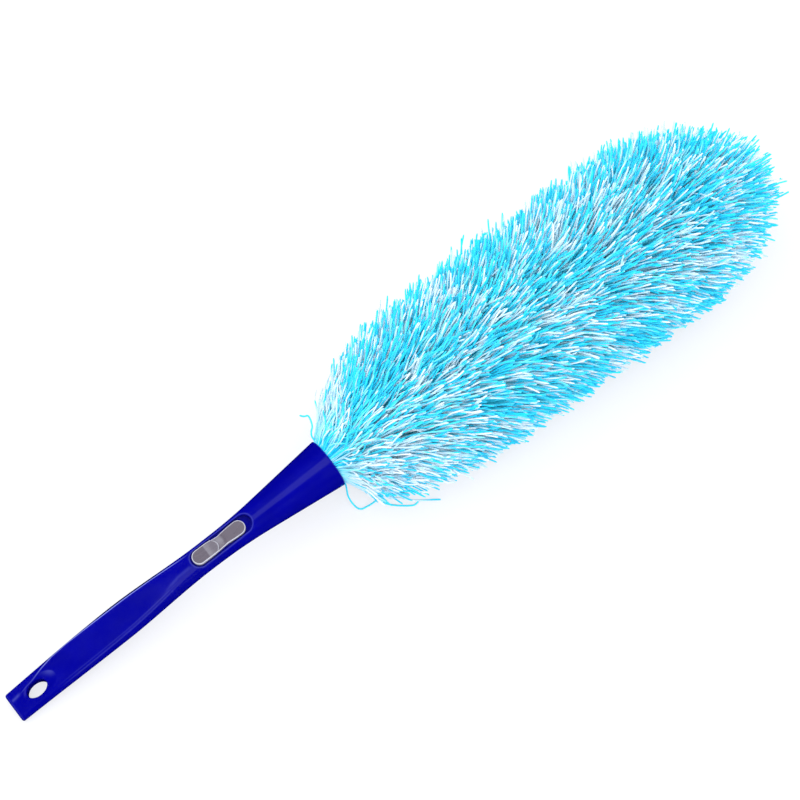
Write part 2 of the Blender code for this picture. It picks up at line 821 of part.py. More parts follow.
def build_release_slide(parent):
    rear = LEG_FRONT - SLIDE_LENGTH
    bottom = SLIDE_TOP - SLIDE_THICKNESS
    slide = add_object(
        "release_slide",
        box("release_slide", (rear, LEG_FRONT), SLIDE_WIDTH / 2, (bottom, SLIDE_TOP)),
        parent,
        make_material("slide_natural", NATURAL, 0.5),
    )
    leg_rings = [
        upright_rectangle(x, LEG_WIDTH / 2, low, SLIDE_TOP - GAP)
        for x, low in (
            (LEG_FRONT - LEG_LENGTH, LEG_BOTTOM),
            (LEG_FRONT - LEG_LENGTH / 2, LEG_BOTTOM),
            (LEG_FRONT - GAP / 3, LEG_BOTTOM + LEG_LENGTH / 4),
        )
    ]
    combine(slide, loft("leg", leg_rings), "UNION")
    peg_line = [(LEG_FRONT - LEG_LENGTH / 2, PEG_RADIUS), (LEG_FRONT + PEG_LENGTH, PEG_RADIUS)]
    tool = combine(slide, turned("peg", peg_line, SMALL_ROUND_STEPS), "UNION")
    tool.location = (0, 0, SPRING_AXIS_HEIGHT)
    way_z = (bottom - OVERRUN, SLIDE_TOP + OVERRUN)
    combine(slide, upright("screw_way", BUTTON_MIDDLE, SLIDE_SCREW_RADIUS + GAP, *way_z))
    return slide


def build_slide_screw(parent):
    mesh = screw_mesh(
        "slide_screw",
        SLIDE_SCREW_RADIUS,
        SLIDE_SCREW_LENGTH,
        SLIDE_SCREW_HEAD_RADIUS,
        SLIDE_SCREW_HEAD_HEIGHT,
    )
    screw = add_object("slide_screw", mesh, parent, make_material("slide_screw_steel", STEEL, 0.35, 1.0))
    screw.location = (BUTTON_MIDDLE, 0, SLIDE_TOP - SLIDE_THICKNESS)
    return screw


# Head

def build_head_plug(parent):
    """A tapered plug with a grooved nose, bored for the core rod and slotted for the socket's key."""
    nose_start = -SOCKET_DEPTH + GAP
    front = -PLUG_SETBACK
    shoulder = TAPER_START + GAP
    groove_start = HOOK_AT - GROOVE_LENGTH / 2
    groove_end = HOOK_AT + GROOVE_LENGTH / 2
    profile = [
        (nose_start, PLUG_NOSE_RADIUS - NOSE_CHAMFER),
        (nose_start + NOSE_CHAMFER, PLUG_NOSE_RADIUS),
        (groove_start, PLUG_NOSE_RADIUS),
        (groove_start, GROOVE_RADIUS),
        (groove_end, GROOVE_RADIUS),
        (groove_end, PLUG_NOSE_RADIUS),
        (shoulder, PLUG_NOSE_RADIUS),
        (shoulder, socket_radius(shoulder) - PLUG_CLEARANCE),
        (front, socket_radius(front) - PLUG_CLEARANCE),
        (front, ROD_RADIUS + GAP),
        (front - PLUG_BORE_DEPTH, ROD_RADIUS + GAP),
    ]
    material = make_material("plug_white", NATURAL, 0.45)
    plug = add_object("head_plug", turned("head_plug", profile), parent, material)
    slot_x = (front - KEY_LENGTH - GAP, front + OVERRUN)
    slot = loft(
        "key_slot",
        box_rings(
            slot_x,
            lambda x: KEY_WIDTH / 2 + GAP,
            lambda x: -MOUTH_DIAMETER,
            lambda x: -socket_radius(x) + KEY_HEIGHT + GAP,
        ),
    )
    combine(plug, slot)
    return plug


def build_core(parent):
    front = -PLUG_SETBACK
    rod_rear = front - PLUG_BORE_DEPTH + GAP
    rod = turned("core_rod", [(rod_rear, ROD_RADIUS), (CORE_LENGTH, ROD_RADIUS)], SMALL_ROUND_STEPS)
    add_object("core_rod", rod, parent, make_material("rod_steel", STEEL, 0.35, 1.0))
    sleeve_rear, sleeve_front = front + GAP, CORE_LENGTH - SLEEVE_SETBACK
    add_object(
        "core_sleeve",
        tube("core_sleeve", sleeve_rear, sleeve_front, ROD_RADIUS + GAP, SLEEVE_RADIUS, SMALL_ROUND_STEPS),
        parent,
        make_material("sleeve_white", NATURAL, 0.5),
    )
    backing_front = CORE_LENGTH - BACKING_SETBACK
    add_object(
        "yarn_backing",
        tube("yarn_backing", front + 2 * GAP, backing_front, SLEEVE_RADIUS + GAP, BACKING_RADIUS),
        parent,
        make_material("backing_white", PALE, 0.9),
    )
    clamp_rear = front + 2 * GAP
    add_object(
        "yarn_clamp",
        tube("yarn_clamp", clamp_rear, clamp_rear + CLAMP_LENGTH, BACKING_RADIUS + GAP, CLAMP_RADIUS),
        parent,
        make_material("clamp_steel", STEEL, 0.35, 1.0),
    )
    cap_start = sleeve_front - CAP_LENGTH / 2
    bore_end = CORE_LENGTH + GAP
    cap_end = bore_end + CAP_WALL
    outer = SLEEVE_RADIUS + GAP + CAP_WALL
    cap = turned(
        "tip_cap",
        [
            (bore_end, ROD_RADIUS),
            (bore_end, SLEEVE_RADIUS + GAP),
            (cap_start, SLEEVE_RADIUS + GAP),
            (cap_start, outer),
            (bore_end, outer),
            (cap_end, outer - CAP_WALL),
        ],
        SMALL_ROUND_STEPS,
    )
    add_object("tip_cap", cap, parent, make_material("cap_white", NATURAL, 0.45))
    return cap_start, cap_end, outer


def tube(name, start, end, inner, outer, steps=ROUND_STEPS):
    return turned(name, [(start, inner), (start, outer), (end, outer), (end, inner), (start, inner)], steps)


# Yarn pile

def row_curves():
    """Curves that give, for a row from 0 to 1, where its locks have their roots and tips."""
    lengths = [0.0]
    for a, b in zip(TIP_SHARES, TIP_SHARES[1:]):
        step = math.hypot((b[0] - a[0]) * PILE_LENGTH, (b[1] - a[1]) * PILE_RADIUS)
        lengths.append(lengths[-1] + step)
    rows = [length / lengths[-1] for length in lengths]
    curves = []
    for shares in (ROOT_SHARES, TIP_SHARES):
        curves.append(smooth_through([(row, share[0]) for row, share in zip(rows, shares)]))
        curves.append(smooth_through([(row, share[1]) for row, share in zip(rows, shares)]))
    return curves


def pile_point(curves, row, angle, level):
    """A point of the pile: level 0 is at a lock's root and level 1 at its tip, and it bends forward."""
    root_x, root_radius, tip_x, tip_radius = (curve(row) for curve in curves)
    forward = 1 - math.cos(level * math.pi / 2)
    outward = math.sin(level * math.pi / 2)
    x = (root_x + (tip_x - root_x) * forward) * PILE_LENGTH
    radius = (root_radius + (tip_radius - root_radius) * outward) * PILE_RADIUS
    return np.array((x, radius * math.cos(angle), radius * math.sin(angle)))


def lay_down(point, mouth_height):
    """Presses what would reach under the table up into the pile, without folding it over."""
    x, y, z = point
    height = mouth_height + x * math.sin(TILT) + z * math.cos(TILT)
    if height < SQUASH_HEIGHT:
        lowest = mouth_height + x * math.sin(TILT) - PILE_RADIUS * max(TIP_SHARES, key=lambda s: s[1])[1]
        lowest = min(lowest, 0)
        reach = SQUASH_HEIGHT - lowest
        room = SQUASH_HEIGHT + PILE_FLAT_DEPTH
        share = (SQUASH_HEIGHT - height) / reach
        slope = reach / room
        pressed = SQUASH_HEIGHT - room * share * slope / (1 + (slope - 1) * share)
        z += (pressed - height) / math.cos(TILT)
    return (x, y, z)


def build_yarn_pile(parent, mouth_height, cap, table):
    cap_start, cap_end, cap_radius = cap
    generator = random.Random(7)
    curves = row_curves()
    turn = 2 * math.pi / PILE_LOCKS_ROUND
    shape = bmesh.new()

    def ring(points):
        return [shape.verts.new(point) for point in points]

    def circle(x, radius, twist):
        return [
            (x, radius * math.cos(turn * (i + twist)), radius * math.sin(turn * (i + twist)))
            for i in range(PILE_LOCKS_ROUND)
        ]

    backing_end = CORE_LENGTH - BACKING_SETBACK + GAP
    bore = [
        ring(circle(cap_end + 2 * GAP, cap_radius + GAP, 0)),
        ring(circle(backing_end + GAP, cap_radius + GAP, 0)),
        ring(circle(backing_end, BACKING_RADIUS + 2 * GAP, 0)),
        ring(circle(-PILE_ROOT_LENGTH, BACKING_RADIUS + 2 * GAP, 0)),
        ring(circle(-PILE_ROOT_LENGTH, PILE_ROOT_RADIUS, 0)),
    ]
    rows = []
    for j in range(PILE_ROWS + 1):
        roots = [pile_point(curves, j / PILE_ROWS, turn * (i + j / 2), 0) for i in range(PILE_LOCKS_ROUND)]
        rows.append(ring([lay_down(root, mouth_height) for root in roots]))

    def join(a, b):
        return [
            shape.faces.new((a[i], a[(i + 1) % PILE_LOCKS_ROUND], b[(i + 1) % PILE_LOCKS_ROUND], b[i]))
            for i in range(PILE_LOCKS_ROUND)
        ]

    for a, b in zip(bore, bore[1:]):
        join(a, b)
    join(bore[-1], rows[0])
    shape.faces.new(bore[0])
    end_cap = shape.faces.new(rows[-1])

    for j in range(PILE_ROWS):
        for i, face in enumerate(join(rows[j], rows[j + 1])):
            grow_lock(shape, face, curves, i, j, generator, mouth_height)
    grow_end(shape, end_cap, curves, mouth_height)

    mesh = mesh_of("yarn_pile", shape, LOCK_SMOOTH_ANGLE)
    pile = add_object("yarn_pile", mesh, parent, make_material("yarn_cyan", CYAN, 0.9))
    combine(pile, table, parent=parent.parent.parent)
    return pile


def grow_lock(shape, face, curves, i, j, generator, mouth_height):
    """Extrudes one patch of the pile into a tapered lock that bends towards the tip."""
    turn = 2 * math.pi / PILE_LOCKS_ROUND
    corners = [(j, i), (j, i + 1), (j + 1, i + 1), (j + 1, i)]
    sway = (generator.uniform(-1, 1), generator.uniform(-1, 1))
    for level, shrink in zip(LOCK_LEVEL_SHARES, LOCK_SHRINK_SHARES):
        cell = [
            pile_point(curves, row / PILE_ROWS, turn * (place + row / 2), level) for row, place in corners
        ]
        centre = sum(cell) / len(cell)
        side_way = (cell[1] - cell[0] + cell[2] - cell[3]) / 2
        along_way = (cell[3] - cell[0] + cell[2] - cell[1]) / 2
        shift = (side_way * sway[0] + along_way * sway[1]) * LOCK_JITTER_SHARE * level
        face = bmesh.ops.extrude_discrete_faces(shape, faces=[face])["faces"][0]
        for vertex, corner in zip(face.verts, cell):
            vertex.co = lay_down(centre + (corner - centre) * shrink + shift, mouth_height)


def grow_end(shape, face, curves, mouth_height):
    """Extrudes the last ring into the bundle at the pile's tip."""
    count = PILE_LOCKS_ROUND
    turn = 2 * math.pi / count
    for level, shrink in zip(LOCK_LEVEL_SHARES, LOCK_SHRINK_SHARES):
        ring = [pile_point(curves, 1, turn * (i + PILE_ROWS / 2), level) for i in range(count)]
        centre = sum(ring) / count
        face = bmesh.ops.extrude_discrete_faces(shape, faces=[face])["faces"][0]
        for vertex, corner in zip(face.verts, ring):
            vertex.co = lay_down(centre + (corner - centre) * shrink, mouth_height)


# Placing the duster on the table

def add_empty(name, parent=None, location=(0, 0, 0)):
    empty = bpy.data.objects.new(name, None)
    bpy.context.scene.collection.objects.link(empty)
    empty.parent = parent
    empty.location = location
    return empty


def lay_on_table():
    """Height of the mouth's centre and the shift along X that centres the duster on the origin."""
    lowest = min(
        (s - HANDLE_LENGTH) * math.sin(TILT) + min(z for y, z in handle_section(s)) * math.cos(TILT)
        for s in handle_stations()
    )
    mouth_height = -lowest - REST_FLAT_DEPTH
    handle_end = -HANDLE_LENGTH * math.cos(TILT) - centre_height(0) * math.sin(TILT)
    pile_end = PILE_LENGTH * math.cos(TILT)
    return mouth_height, -(handle_end + pile_end) / 2


def table_mesh(name):
    reach = 2 * HANDLE_LENGTH
    return box(name, (-reach, reach), reach / 2, (-MOUTH_DIAMETER, 0))


def main():
    for obj in list(bpy.data.objects):
        bpy.data.objects.remove(obj)
    mouth_height, shift = lay_on_table()
    table_frame = add_empty("table_frame")
    duster = add_empty("duster", table_frame, (shift, 0, mouth_height))
    duster.rotation_euler = (0, -TILT, 0)
    handle = add_empty("handle_frame", duster)
    button = add_empty("button_axis", handle)
    head = add_empty("head_axis", duster)

    build_handle_body(duster, table_mesh("table_under_handle"))
    build_back_cover(duster)
    build_cover_screws(duster)
    build_latch_leaf(duster)
    build_return_spring(duster)
    build_release_button(button)
    build_release_slide(button)
    build_slide_screw(button)
    build_head_plug(head)
    cap = build_core(head)
    build_yarn_pile(head, mouth_height, cap, table_mesh("table_under_pile"))
    bpy.context.view_layer.update()


main()
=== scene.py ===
"""Looks for the yarn duster: finer handle, button, yarn strands, materials, light and camera."""

import json
import math

import bmesh
import bpy
import numpy as np
from mathutils import Matrix, Vector
from mathutils.bvhtree import BVHTree

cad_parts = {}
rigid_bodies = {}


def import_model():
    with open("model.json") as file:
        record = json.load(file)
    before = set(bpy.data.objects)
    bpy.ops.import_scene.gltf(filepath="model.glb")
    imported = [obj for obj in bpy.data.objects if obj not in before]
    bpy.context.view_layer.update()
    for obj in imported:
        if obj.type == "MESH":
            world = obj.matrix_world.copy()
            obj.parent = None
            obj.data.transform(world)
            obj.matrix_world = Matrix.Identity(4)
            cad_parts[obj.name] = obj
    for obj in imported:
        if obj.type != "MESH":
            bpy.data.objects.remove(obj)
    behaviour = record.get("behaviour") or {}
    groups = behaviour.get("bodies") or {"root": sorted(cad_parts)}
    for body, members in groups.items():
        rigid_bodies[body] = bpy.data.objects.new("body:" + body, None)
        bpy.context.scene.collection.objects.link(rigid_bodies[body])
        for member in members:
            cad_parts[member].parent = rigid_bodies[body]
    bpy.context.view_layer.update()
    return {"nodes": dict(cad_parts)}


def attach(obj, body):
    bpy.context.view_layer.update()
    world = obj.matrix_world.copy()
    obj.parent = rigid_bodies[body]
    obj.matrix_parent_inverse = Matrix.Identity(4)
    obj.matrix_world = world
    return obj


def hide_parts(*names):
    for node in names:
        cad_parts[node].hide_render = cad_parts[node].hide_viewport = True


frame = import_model()

# How the duster lies, as in the CAD source
TILT = math.radians(3.0)
MOUTH_HEIGHT = 0.03408378
SHIFT = -0.04885222
LAID_DOWN = Matrix.Translation((SHIFT, 0, MOUTH_HEIGHT)) @ Matrix.Rotation(-TILT, 4, "Y")

PILE_LENGTH = 0.374
PILE_RADIUS = 0.0640
TOP_TIP_SHARE = 1.01
SQUASH_HEIGHT = 0.030
PILE_FLAT_DEPTH = 0.0005

# Camera, as fitted to the picture: its focal length is in pixels of an 800 pixel wide frame
CAMERA_AZIMUTH = math.radians(38.0)
CAMERA_ELEVATION = math.radians(69.9)
CAMERA_DISTANCE = 1.7824
CAMERA_TARGET = (0.0205, 0.0075, 0.03)
FOCAL_PIXELS = 2500
PICTURE_PIXELS = 800
SENSOR_WIDTH = 36

# Yarn: where strands have their tips and roots, in metres past the mouth and from the axis
TIP_LINE = (
    (0.022, 0.034), (0.032, 0.042), (0.044, 0.049), (0.058, 0.0555), (0.075, 0.0605),
    (0.105, 0.0645), (0.187, 0.0665), (0.299, 0.0695), (0.327, 0.0640), (0.348, 0.0535),
    (0.365, 0.0410), (0.378, 0.0280), (0.386, 0.010),
)
ROOT_LINE = (
    (-0.003, 0.0156), (-0.002, 0.0154), (-0.001, 0.0150), (0.003, 0.0152), (0.018, 0.0165),
    (0.050, 0.0185), (0.133, 0.0200), (0.246, 0.0200), (0.272, 0.0170), (0.293, 0.0140),
    (0.306, 0.0110), (0.314, 0.0090), (0.320, 0.0040),
)
UNDERLAYER_LINE = (
    (-0.004, 0.0110), (0.002, 0.0120), (0.015, 0.0185), (0.040, 0.0300), (0.080, 0.0390),
    (0.120, 0.0430), (0.290, 0.0440), (0.318, 0.0370), (0.338, 0.0250), (0.348, 0.0100),
    (0.350, 0.0010),
)
STRAND_RADIUS = 0.00058
STRAND_RINGS = (0.0, 0.14, 0.28, 0.42, 0.55, 0.67, 0.78, 0.88, 0.975, 1.0)
STRAND_THICKNESS = (1.0, 1.0, 1.0, 1.0, 1.0, 1.0, 1.0, 1.02, 1.08, 0.62)
STRAND_SIDES = 5
STRANDS_IN_A_PIECE = 2100
STRAND_PIECES = 8
STRAY_SHARE = 0.018
LOCK_ROWS, LOCK_ANGLES = 36, 28
LOCK_PULL, LOCK_SCATTER = 0.30, 0.7
CYAN_SIDE = math.radians(84)
COLOUR_ROWS = 32
BEND_SIDEWAYS, BEND_POWER = -0.0130, 2.2
MOUTH_ROOM = ((-0.02, 0.0145), (0.0, 0.0160), (0.0012, 0.0165), (0.009, 0.033))
MOUTH_ROOM_END = 0.010
LOWEST_SHARE = 1.08

# How single strands differ: spreads of their turn, radius and place, with the least and the most
TURN_SPREAD, STRAY_TURN_SPREAD = 0.035, 0.38
RADIUS_SPREAD, RADIUS_RANGE = 0.028, (-0.09, 0.04)
PLACE_SPREAD, PLACE_RANGE = 0.0035, (-0.008, 0.006)
SAG_ROWS, SAG_BACK, SAG_OUT = 0.09, 0.014, 0.006
SWELL, SWELL_START, SWELL_END = 0.0022, (0.05, 0.2), (0.5, 0.7)
MOUTH_ROWS, ROOT_INSET_SHARE, ROOT_SETBACK = (0.10, 0.20), 0.55, 0.004
SHORTER_SHARE, SPREAD_BIAS, TURN_BIAS = 0.20, 0.22, 1.4
SHARED_BENDS = (0.0032, 0.0020, 0.0036)
OWN_WAVES = ((0.55, 0.0018), (1.1, 0.0008), (2.1, 0.00035))
TIP_SAG = 0.0035

# What makes a strand cyan: winding bands, tufts, the side at the mouth
BAND_WAVES, BAND_WEIGHT, TUFT_WEIGHT, WHITE_LEAN = 12, 0.36, 1.10, 0.12
MOUTH_WEIGHT, MOUTH_REACH, SIDE_WEIGHT, SIDE_WIDTH = 3.4, 0.19, 1.75, 0.62
STRAY_CYAN_SHARE = 0.2
ROW_MARGIN, CAP_ALONG = 0.06, 0.999
UNDER_SIDES, UNDER_RINGS, UNDER_WAVES, UNDER_LUMP_SHARE, UNDER_LOWEST = 96, 120, 24, 0.018, 0.002
SIDE_SOFT, SIDE_LIMIT = 0.070, 0.0765

# Single strands that lie or curl apart from the pile: colour row, then places in the shared frame
LOOSE_STRANDS = (
    (18, (
        (-0.0451, 0.0087, 0.0360), (-0.0478, 0.0190, 0.0400), (-0.0466, 0.0231, 0.0420),
        (-0.0435, 0.0259, 0.0440), (-0.0419, 0.0298, 0.0460), (-0.0417, 0.0332, 0.0470),
        (-0.0444, 0.0342, 0.0480), (-0.0466, 0.0364, 0.0490),
    )),
    (19, (
        (-0.0465, -0.0088, 0.0220), (-0.0462, -0.0153, 0.0160), (-0.0487, -0.0213, 0.0090),
        (-0.0485, -0.0276, 0.0035), (-0.0463, -0.0322, 0.0015), (-0.0406, -0.0337, 0.0015),
        (-0.0342, -0.0344, 0.0030), (-0.0266, -0.0350, 0.0090),
    )),
    (16, (
        (-0.0371, -0.0242, 0.0140), (-0.0333, -0.0333, 0.0060), (-0.0308, -0.0389, 0.0030),
        (-0.0246, -0.0457, 0.0015), (-0.0152, -0.0530, 0.0015), (-0.0102, -0.0533, 0.0020),
    )),
    (1, (
        (-0.0428, -0.0156, 0.0200), (-0.0327, -0.0303, 0.0100), (-0.0272, -0.0373, 0.0060),
        (-0.0190, -0.0445, 0.0040), (-0.0110, -0.0521, 0.0030), (-0.0019, -0.0582, 0.0020),
        (0.0032, -0.0620, 0.0020),
    )),
    (17, (
        (0.3014, -0.0387, 0.0480), (0.3170, -0.0421, 0.0520), (0.3274, -0.0446, 0.0530),
        (0.3362, -0.0463, 0.0540),
    )),
)
LOOSE_RINGS = 40


def smooth_step(x, low, high):
    t = np.clip((x - low) / (high - low), 0, 1)
    return t * t * (3 - 2 * t)


def to_row(points):
    """Points of the duster's own frame, carried to the frame that the whole part shares."""
    points = np.asarray(points, float)
    x, y, z = points[..., 0], points[..., 1], points[..., 2]
    return np.stack(
        [
            x * math.cos(TILT) - z * math.sin(TILT) + SHIFT,
            y,
            x * math.sin(TILT) + z * math.cos(TILT) + MOUTH_HEIGHT,
        ],
        -1,
    )


def lay_down(points):
    """Presses what would reach under the table up into the pile, without folding it over."""
    points = np.array(points, float)
    x, z = points[..., 0], points[..., 2]
    height = MOUTH_HEIGHT + x * math.sin(TILT) + z * math.cos(TILT)
    lowest = np.minimum(MOUTH_HEIGHT + x * math.sin(TILT) - PILE_RADIUS * TOP_TIP_SHARE * LOWEST_SHARE, 0)
    reach = SQUASH_HEIGHT - lowest
    share = np.clip((SQUASH_HEIGHT - height) / reach, 0, 1)
    slope = reach / (SQUASH_HEIGHT - PILE_FLAT_DEPTH)
    pressed = SQUASH_HEIGHT - (SQUASH_HEIGHT - PILE_FLAT_DEPTH) * share * slope / (1 + (slope - 1) * share)
    points[..., 2] = np.where(height < SQUASH_HEIGHT, z + (pressed - height) / math.cos(TILT), z)
    return points


def loft_faces(rings, around):
    """Quads between neighbouring rings of points, and a cap at each end."""
    faces = []
    for i in range(rings - 1):
        low, high = i * around, (i + 1) * around
        for j in range(around):
            beside = (j + 1) % around
            faces.append((low + j, low + beside, high + beside, high + j))
    faces.append(tuple(range(around))[::-1])
    faces.append(tuple((rings - 1) * around + j for j in range(around)))
    return faces


def mesh_object(name, vertices, faces, material, smooth=True):
    mesh = bpy.data.meshes.new(name)
    mesh.from_pydata([tuple(v) for v in vertices], [], faces)
    mesh.materials.append(material)
    if smooth:
        mesh.shade_smooth()
    obj = bpy.data.objects.new(name, mesh)
    bpy.context.scene.collection.objects.link(obj)
    return obj


# Materials

# Ramps run over a strand's colour number, its length or a noise; each stop is a place and a colour
WHITE_SHADES = (
    (0.0, (0.88, 0.96, 1.0)), (0.12, (0.74, 0.92, 1.0)), (0.22, (0.96, 0.99, 1.0)),
    (0.34, (0.64, 0.90, 1.0)), (0.42, (0.82, 0.95, 1.0)),
)
CYAN_SHADES = (
    (0.5, (0.07, 0.84, 1.0)), (0.6, (0.02, 0.75, 1.0)), (0.7, (0.20, 0.91, 1.0)),
    (0.8, (0.04, 0.80, 1.0)), (0.9, (0.34, 0.95, 1.0)),
)
# Painted shade: a strand's colour is multiplied darker and bluer towards its root, where the pile shades it
PAINTED_DEPTH_SHADE = ((0.08, (0.28, 0.86, 1.0)), (0.45, (0.62, 0.94, 1.0)), (0.82, (1.0, 1.0, 1.0)))
UNDER_SHADES = ((0.3, (0.02, 0.66, 1.0)), (0.5, (0.06, 0.80, 1.0)), (0.7, (0.36, 0.92, 1.0)))
TIP_COLOUR = (0.05, 0.75, 1.0)
# Near-black colour of painted shade
PAINTED_SHADE_COLOUR = (0.0, 0.0, 0.004)
CYAN_FROM = 0.499
SCATTER, TIP_START, TIP_START_SPREAD, TIP_BLEND = 37.7, 0.74, 0.45, 0.10
TWISTS = 46.0


def node_material(name):
    material = bpy.data.materials.new(name)
    material.use_nodes = True
    tree = material.node_tree
    return material, tree, tree.nodes["Principled BSDF"]


def set_inputs(tree, node, inputs):
    for key, value in inputs.items():
        if isinstance(value, bpy.types.NodeSocket):
            tree.links.new(value, node.inputs[key])
        else:
            node.inputs[key].default_value = value


def add_node(tree, kind, inputs=None, **settings):
    node = tree.nodes.new(kind)
    for key, value in settings.items():
        setattr(node, key, value)
    set_inputs(tree, node, inputs or {})
    return node


def ramp(tree, factor, stops, interpolation="LINEAR"):
    node = add_node(tree, "ShaderNodeValToRGB", {"Fac": factor})
    node.color_ramp.interpolation = interpolation
    elements = node.color_ramp.elements
    while len(elements) < len(stops):
        elements.new(0.5)
    for element, (place, colour) in zip(elements, stops):
        element.position = place
        element.color = (*colour, 1)
    return node.outputs["Color"]


def maths(tree, operation, a, b=0.0):
    return add_node(tree, "ShaderNodeMath", {0: a, 1: b}, operation=operation).outputs[0]


def mix_colour(tree, factor, a, b, blend="MIX"):
    node = add_node(tree, "ShaderNodeMix", data_type="RGBA", blend_type=blend)
    a, b = (side if isinstance(side, bpy.types.NodeSocket) else (*side, 1) for side in (a, b))
    set_inputs(tree, node, {0: factor, 6: a, 7: b})
    return node.outputs[2]


def noise(tree, scale, detail=2.0, stretch=None):
    """Noise in the object's own space, whose scale is in lumps per metre."""
    place = add_node(tree, "ShaderNodeTexCoord").outputs["Object"]
    if stretch:
        place = add_node(tree, "ShaderNodeMapping", {"Vector": place, "Scale": stretch}).outputs[0]
    return add_node(
        tree, "ShaderNodeTexNoise", {"Vector": place, "Scale": scale, "Detail": detail}
    ).outputs["Fac"]


def bump(tree, height, strength, distance):
    return add_node(
        tree, "ShaderNodeBump", {"Height": height, "Strength": strength, "Distance": distance}
    ).outputs[0]


def plastic(name, colour, deep, gloss_low, gloss_high, painted_light_and_wear=None):
    """Moulded plastic: faint clouds, smeared gloss, a fine grain, and painted highlights and painted dark
    shade from a mesh attribute, which on the thumb slide also holds a worn rim.
    """
    material, tree, shader = node_material(name)
    clouds = noise(tree, scale=45.0, detail=3.0)
    shade = ramp(tree, clouds, ((0.35, deep), (0.7, colour)))
    if painted_light_and_wear:
        # Above zero the attribute mixes in a painted highlight colour (on the thumb slide's rim partly wear),
        # below zero a painted near-black shade
        edge = add_node(tree, "ShaderNodeAttribute", attribute_name="painted_light_and_wear").outputs["Fac"]
        painted_dark = add_node(tree, "ShaderNodeMath", {0: edge, 1: -1.0}, operation="MULTIPLY", use_clamp=True)
        shade = mix_colour(tree, painted_dark.outputs[0], shade, PAINTED_SHADE_COLOUR)
        bright = add_node(tree, "ShaderNodeMath", {0: edge, 1: 1.0}, operation="MULTIPLY", use_clamp=True)
        shade = mix_colour(tree, bright.outputs[0], shade, painted_light_and_wear)
    smears = noise(tree, scale=120.0, detail=4.0, stretch=(0.4, 1, 1))
    gloss = ramp(tree, smears, ((0.3, (gloss_low,) * 3), (0.75, (gloss_high,) * 3)))
    grain = bump(tree, noise(tree, scale=900.0, detail=2.0), strength=0.02, distance=0.0001)
    set_inputs(tree, shader, {"Base Color": shade, "Roughness": gloss, "IOR": 1.46, "Normal": grain})
    return material


def steel(name):
    material, tree, shader = node_material(name)
    drawn = noise(tree, scale=400.0, detail=3.0, stretch=(0.05, 1, 1))
    set_inputs(tree, shader, {
        "Base Color": ramp(tree, drawn, ((0.3, (0.42, 0.42, 0.43)), (0.7, (0.62, 0.62, 0.63)))),
        "Roughness": ramp(tree, drawn, ((0.2, (0.25,) * 3), (0.8, (0.42,) * 3))),
        "Metallic": 1.0,
    })
    return material


def woven(name):
    material, tree, shader = node_material(name)
    place = add_node(tree, "ShaderNodeTexCoord").outputs["Object"]
    threads = {"Vector": place, "Scale": 300.0, "Distortion": 0.6}
    warp, weft = (
        add_node(tree, "ShaderNodeTexWave", threads, bands_direction=way).outputs["Fac"] for way in "XY"
    )
    cloth = maths(tree, "MULTIPLY", warp, weft)
    set_inputs(tree, shader, {
        "Base Color": ramp(tree, cloth, ((0.0, (0.35, 0.55, 0.72)), (1.0, (0.82, 0.88, 0.92)))),
        "Roughness": 0.9,
        "Normal": bump(tree, cloth, strength=0.4, distance=0.0003),
    })
    return material


def yarn(name):
    """Yarn whose colour comes from the strand's own row: v picks the row, u runs from root to tip."""
    material, tree, shader = node_material(name)
    place = add_node(tree, "ShaderNodeUVMap", uv_map="OFBake").outputs[0]
    split = add_node(tree, "ShaderNodeSeparateXYZ", {0: place})
    along, row = split.outputs[0], split.outputs[1]
    rows = maths(tree, "MULTIPLY", row, float(COLOUR_ROWS))
    number = maths(tree, "DIVIDE", maths(tree, "FLOOR", rows), float(COLOUR_ROWS))
    around = maths(tree, "FRACT", rows)
    white = ramp(tree, number, WHITE_SHADES, "CONSTANT")
    cyan = ramp(tree, number, CYAN_SHADES, "CONSTANT")
    is_cyan = maths(tree, "GREATER_THAN", number, CYAN_FROM)
    shade = mix_colour(tree, is_cyan, white, cyan)
    scatter = maths(tree, "FRACT", maths(tree, "MULTIPLY", number, SCATTER))
    start = maths(tree, "ADD", maths(tree, "MULTIPLY", scatter, TIP_START_SPREAD), TIP_START)
    tip = add_node(tree, "ShaderNodeMapRange",
                   {"Value": along, "From Min": start, "From Max": maths(tree, "ADD", start, TIP_BLEND)})
    shade = mix_colour(tree, tip.outputs[0], shade, TIP_COLOUR)
    # Painted shade: darker and bluer towards the root, deep in the pile
    depth = ramp(tree, along, PAINTED_DEPTH_SHADE)
    shade = mix_colour(tree, 1.0, shade, depth, "MULTIPLY")
    turns = maths(tree, "ADD", maths(tree, "MULTIPLY", along, TWISTS), around)
    twist = maths(tree, "SINE", maths(tree, "MULTIPLY", turns, 2 * math.pi))
    # Painted shade: each twist turn is a little darker in its groove
    painted_ply_shade = add_node(tree, "ShaderNodeMapRange",
                   {"Value": twist, "From Min": -1.0, "From Max": 0.2, "To Min": 0.95, "To Max": 1.0})
    shade = mix_colour(tree, 1.0, shade, painted_ply_shade.outputs[0], "MULTIPLY")
    set_inputs(tree, shader, {
        "Base Color": shade, "Roughness": 0.9, "Specular IOR Level": 0.12,
        "Sheen Weight": 0.12, "Sheen Roughness": 0.5,
        "Normal": bump(tree, twist, strength=0.25, distance=0.0002),
    })
    return material


def under_yarn(name):
    material, tree, shader = node_material(name)
    streaks = noise(tree, scale=260.0, detail=3.0, stretch=(0.2, 1, 1))
    set_inputs(tree, shader, {
        "Base Color": ramp(tree, streaks, UNDER_SHADES), "Roughness": 0.95,
        "Normal": bump(tree, streaks, strength=0.8, distance=0.001),
    })
    return material


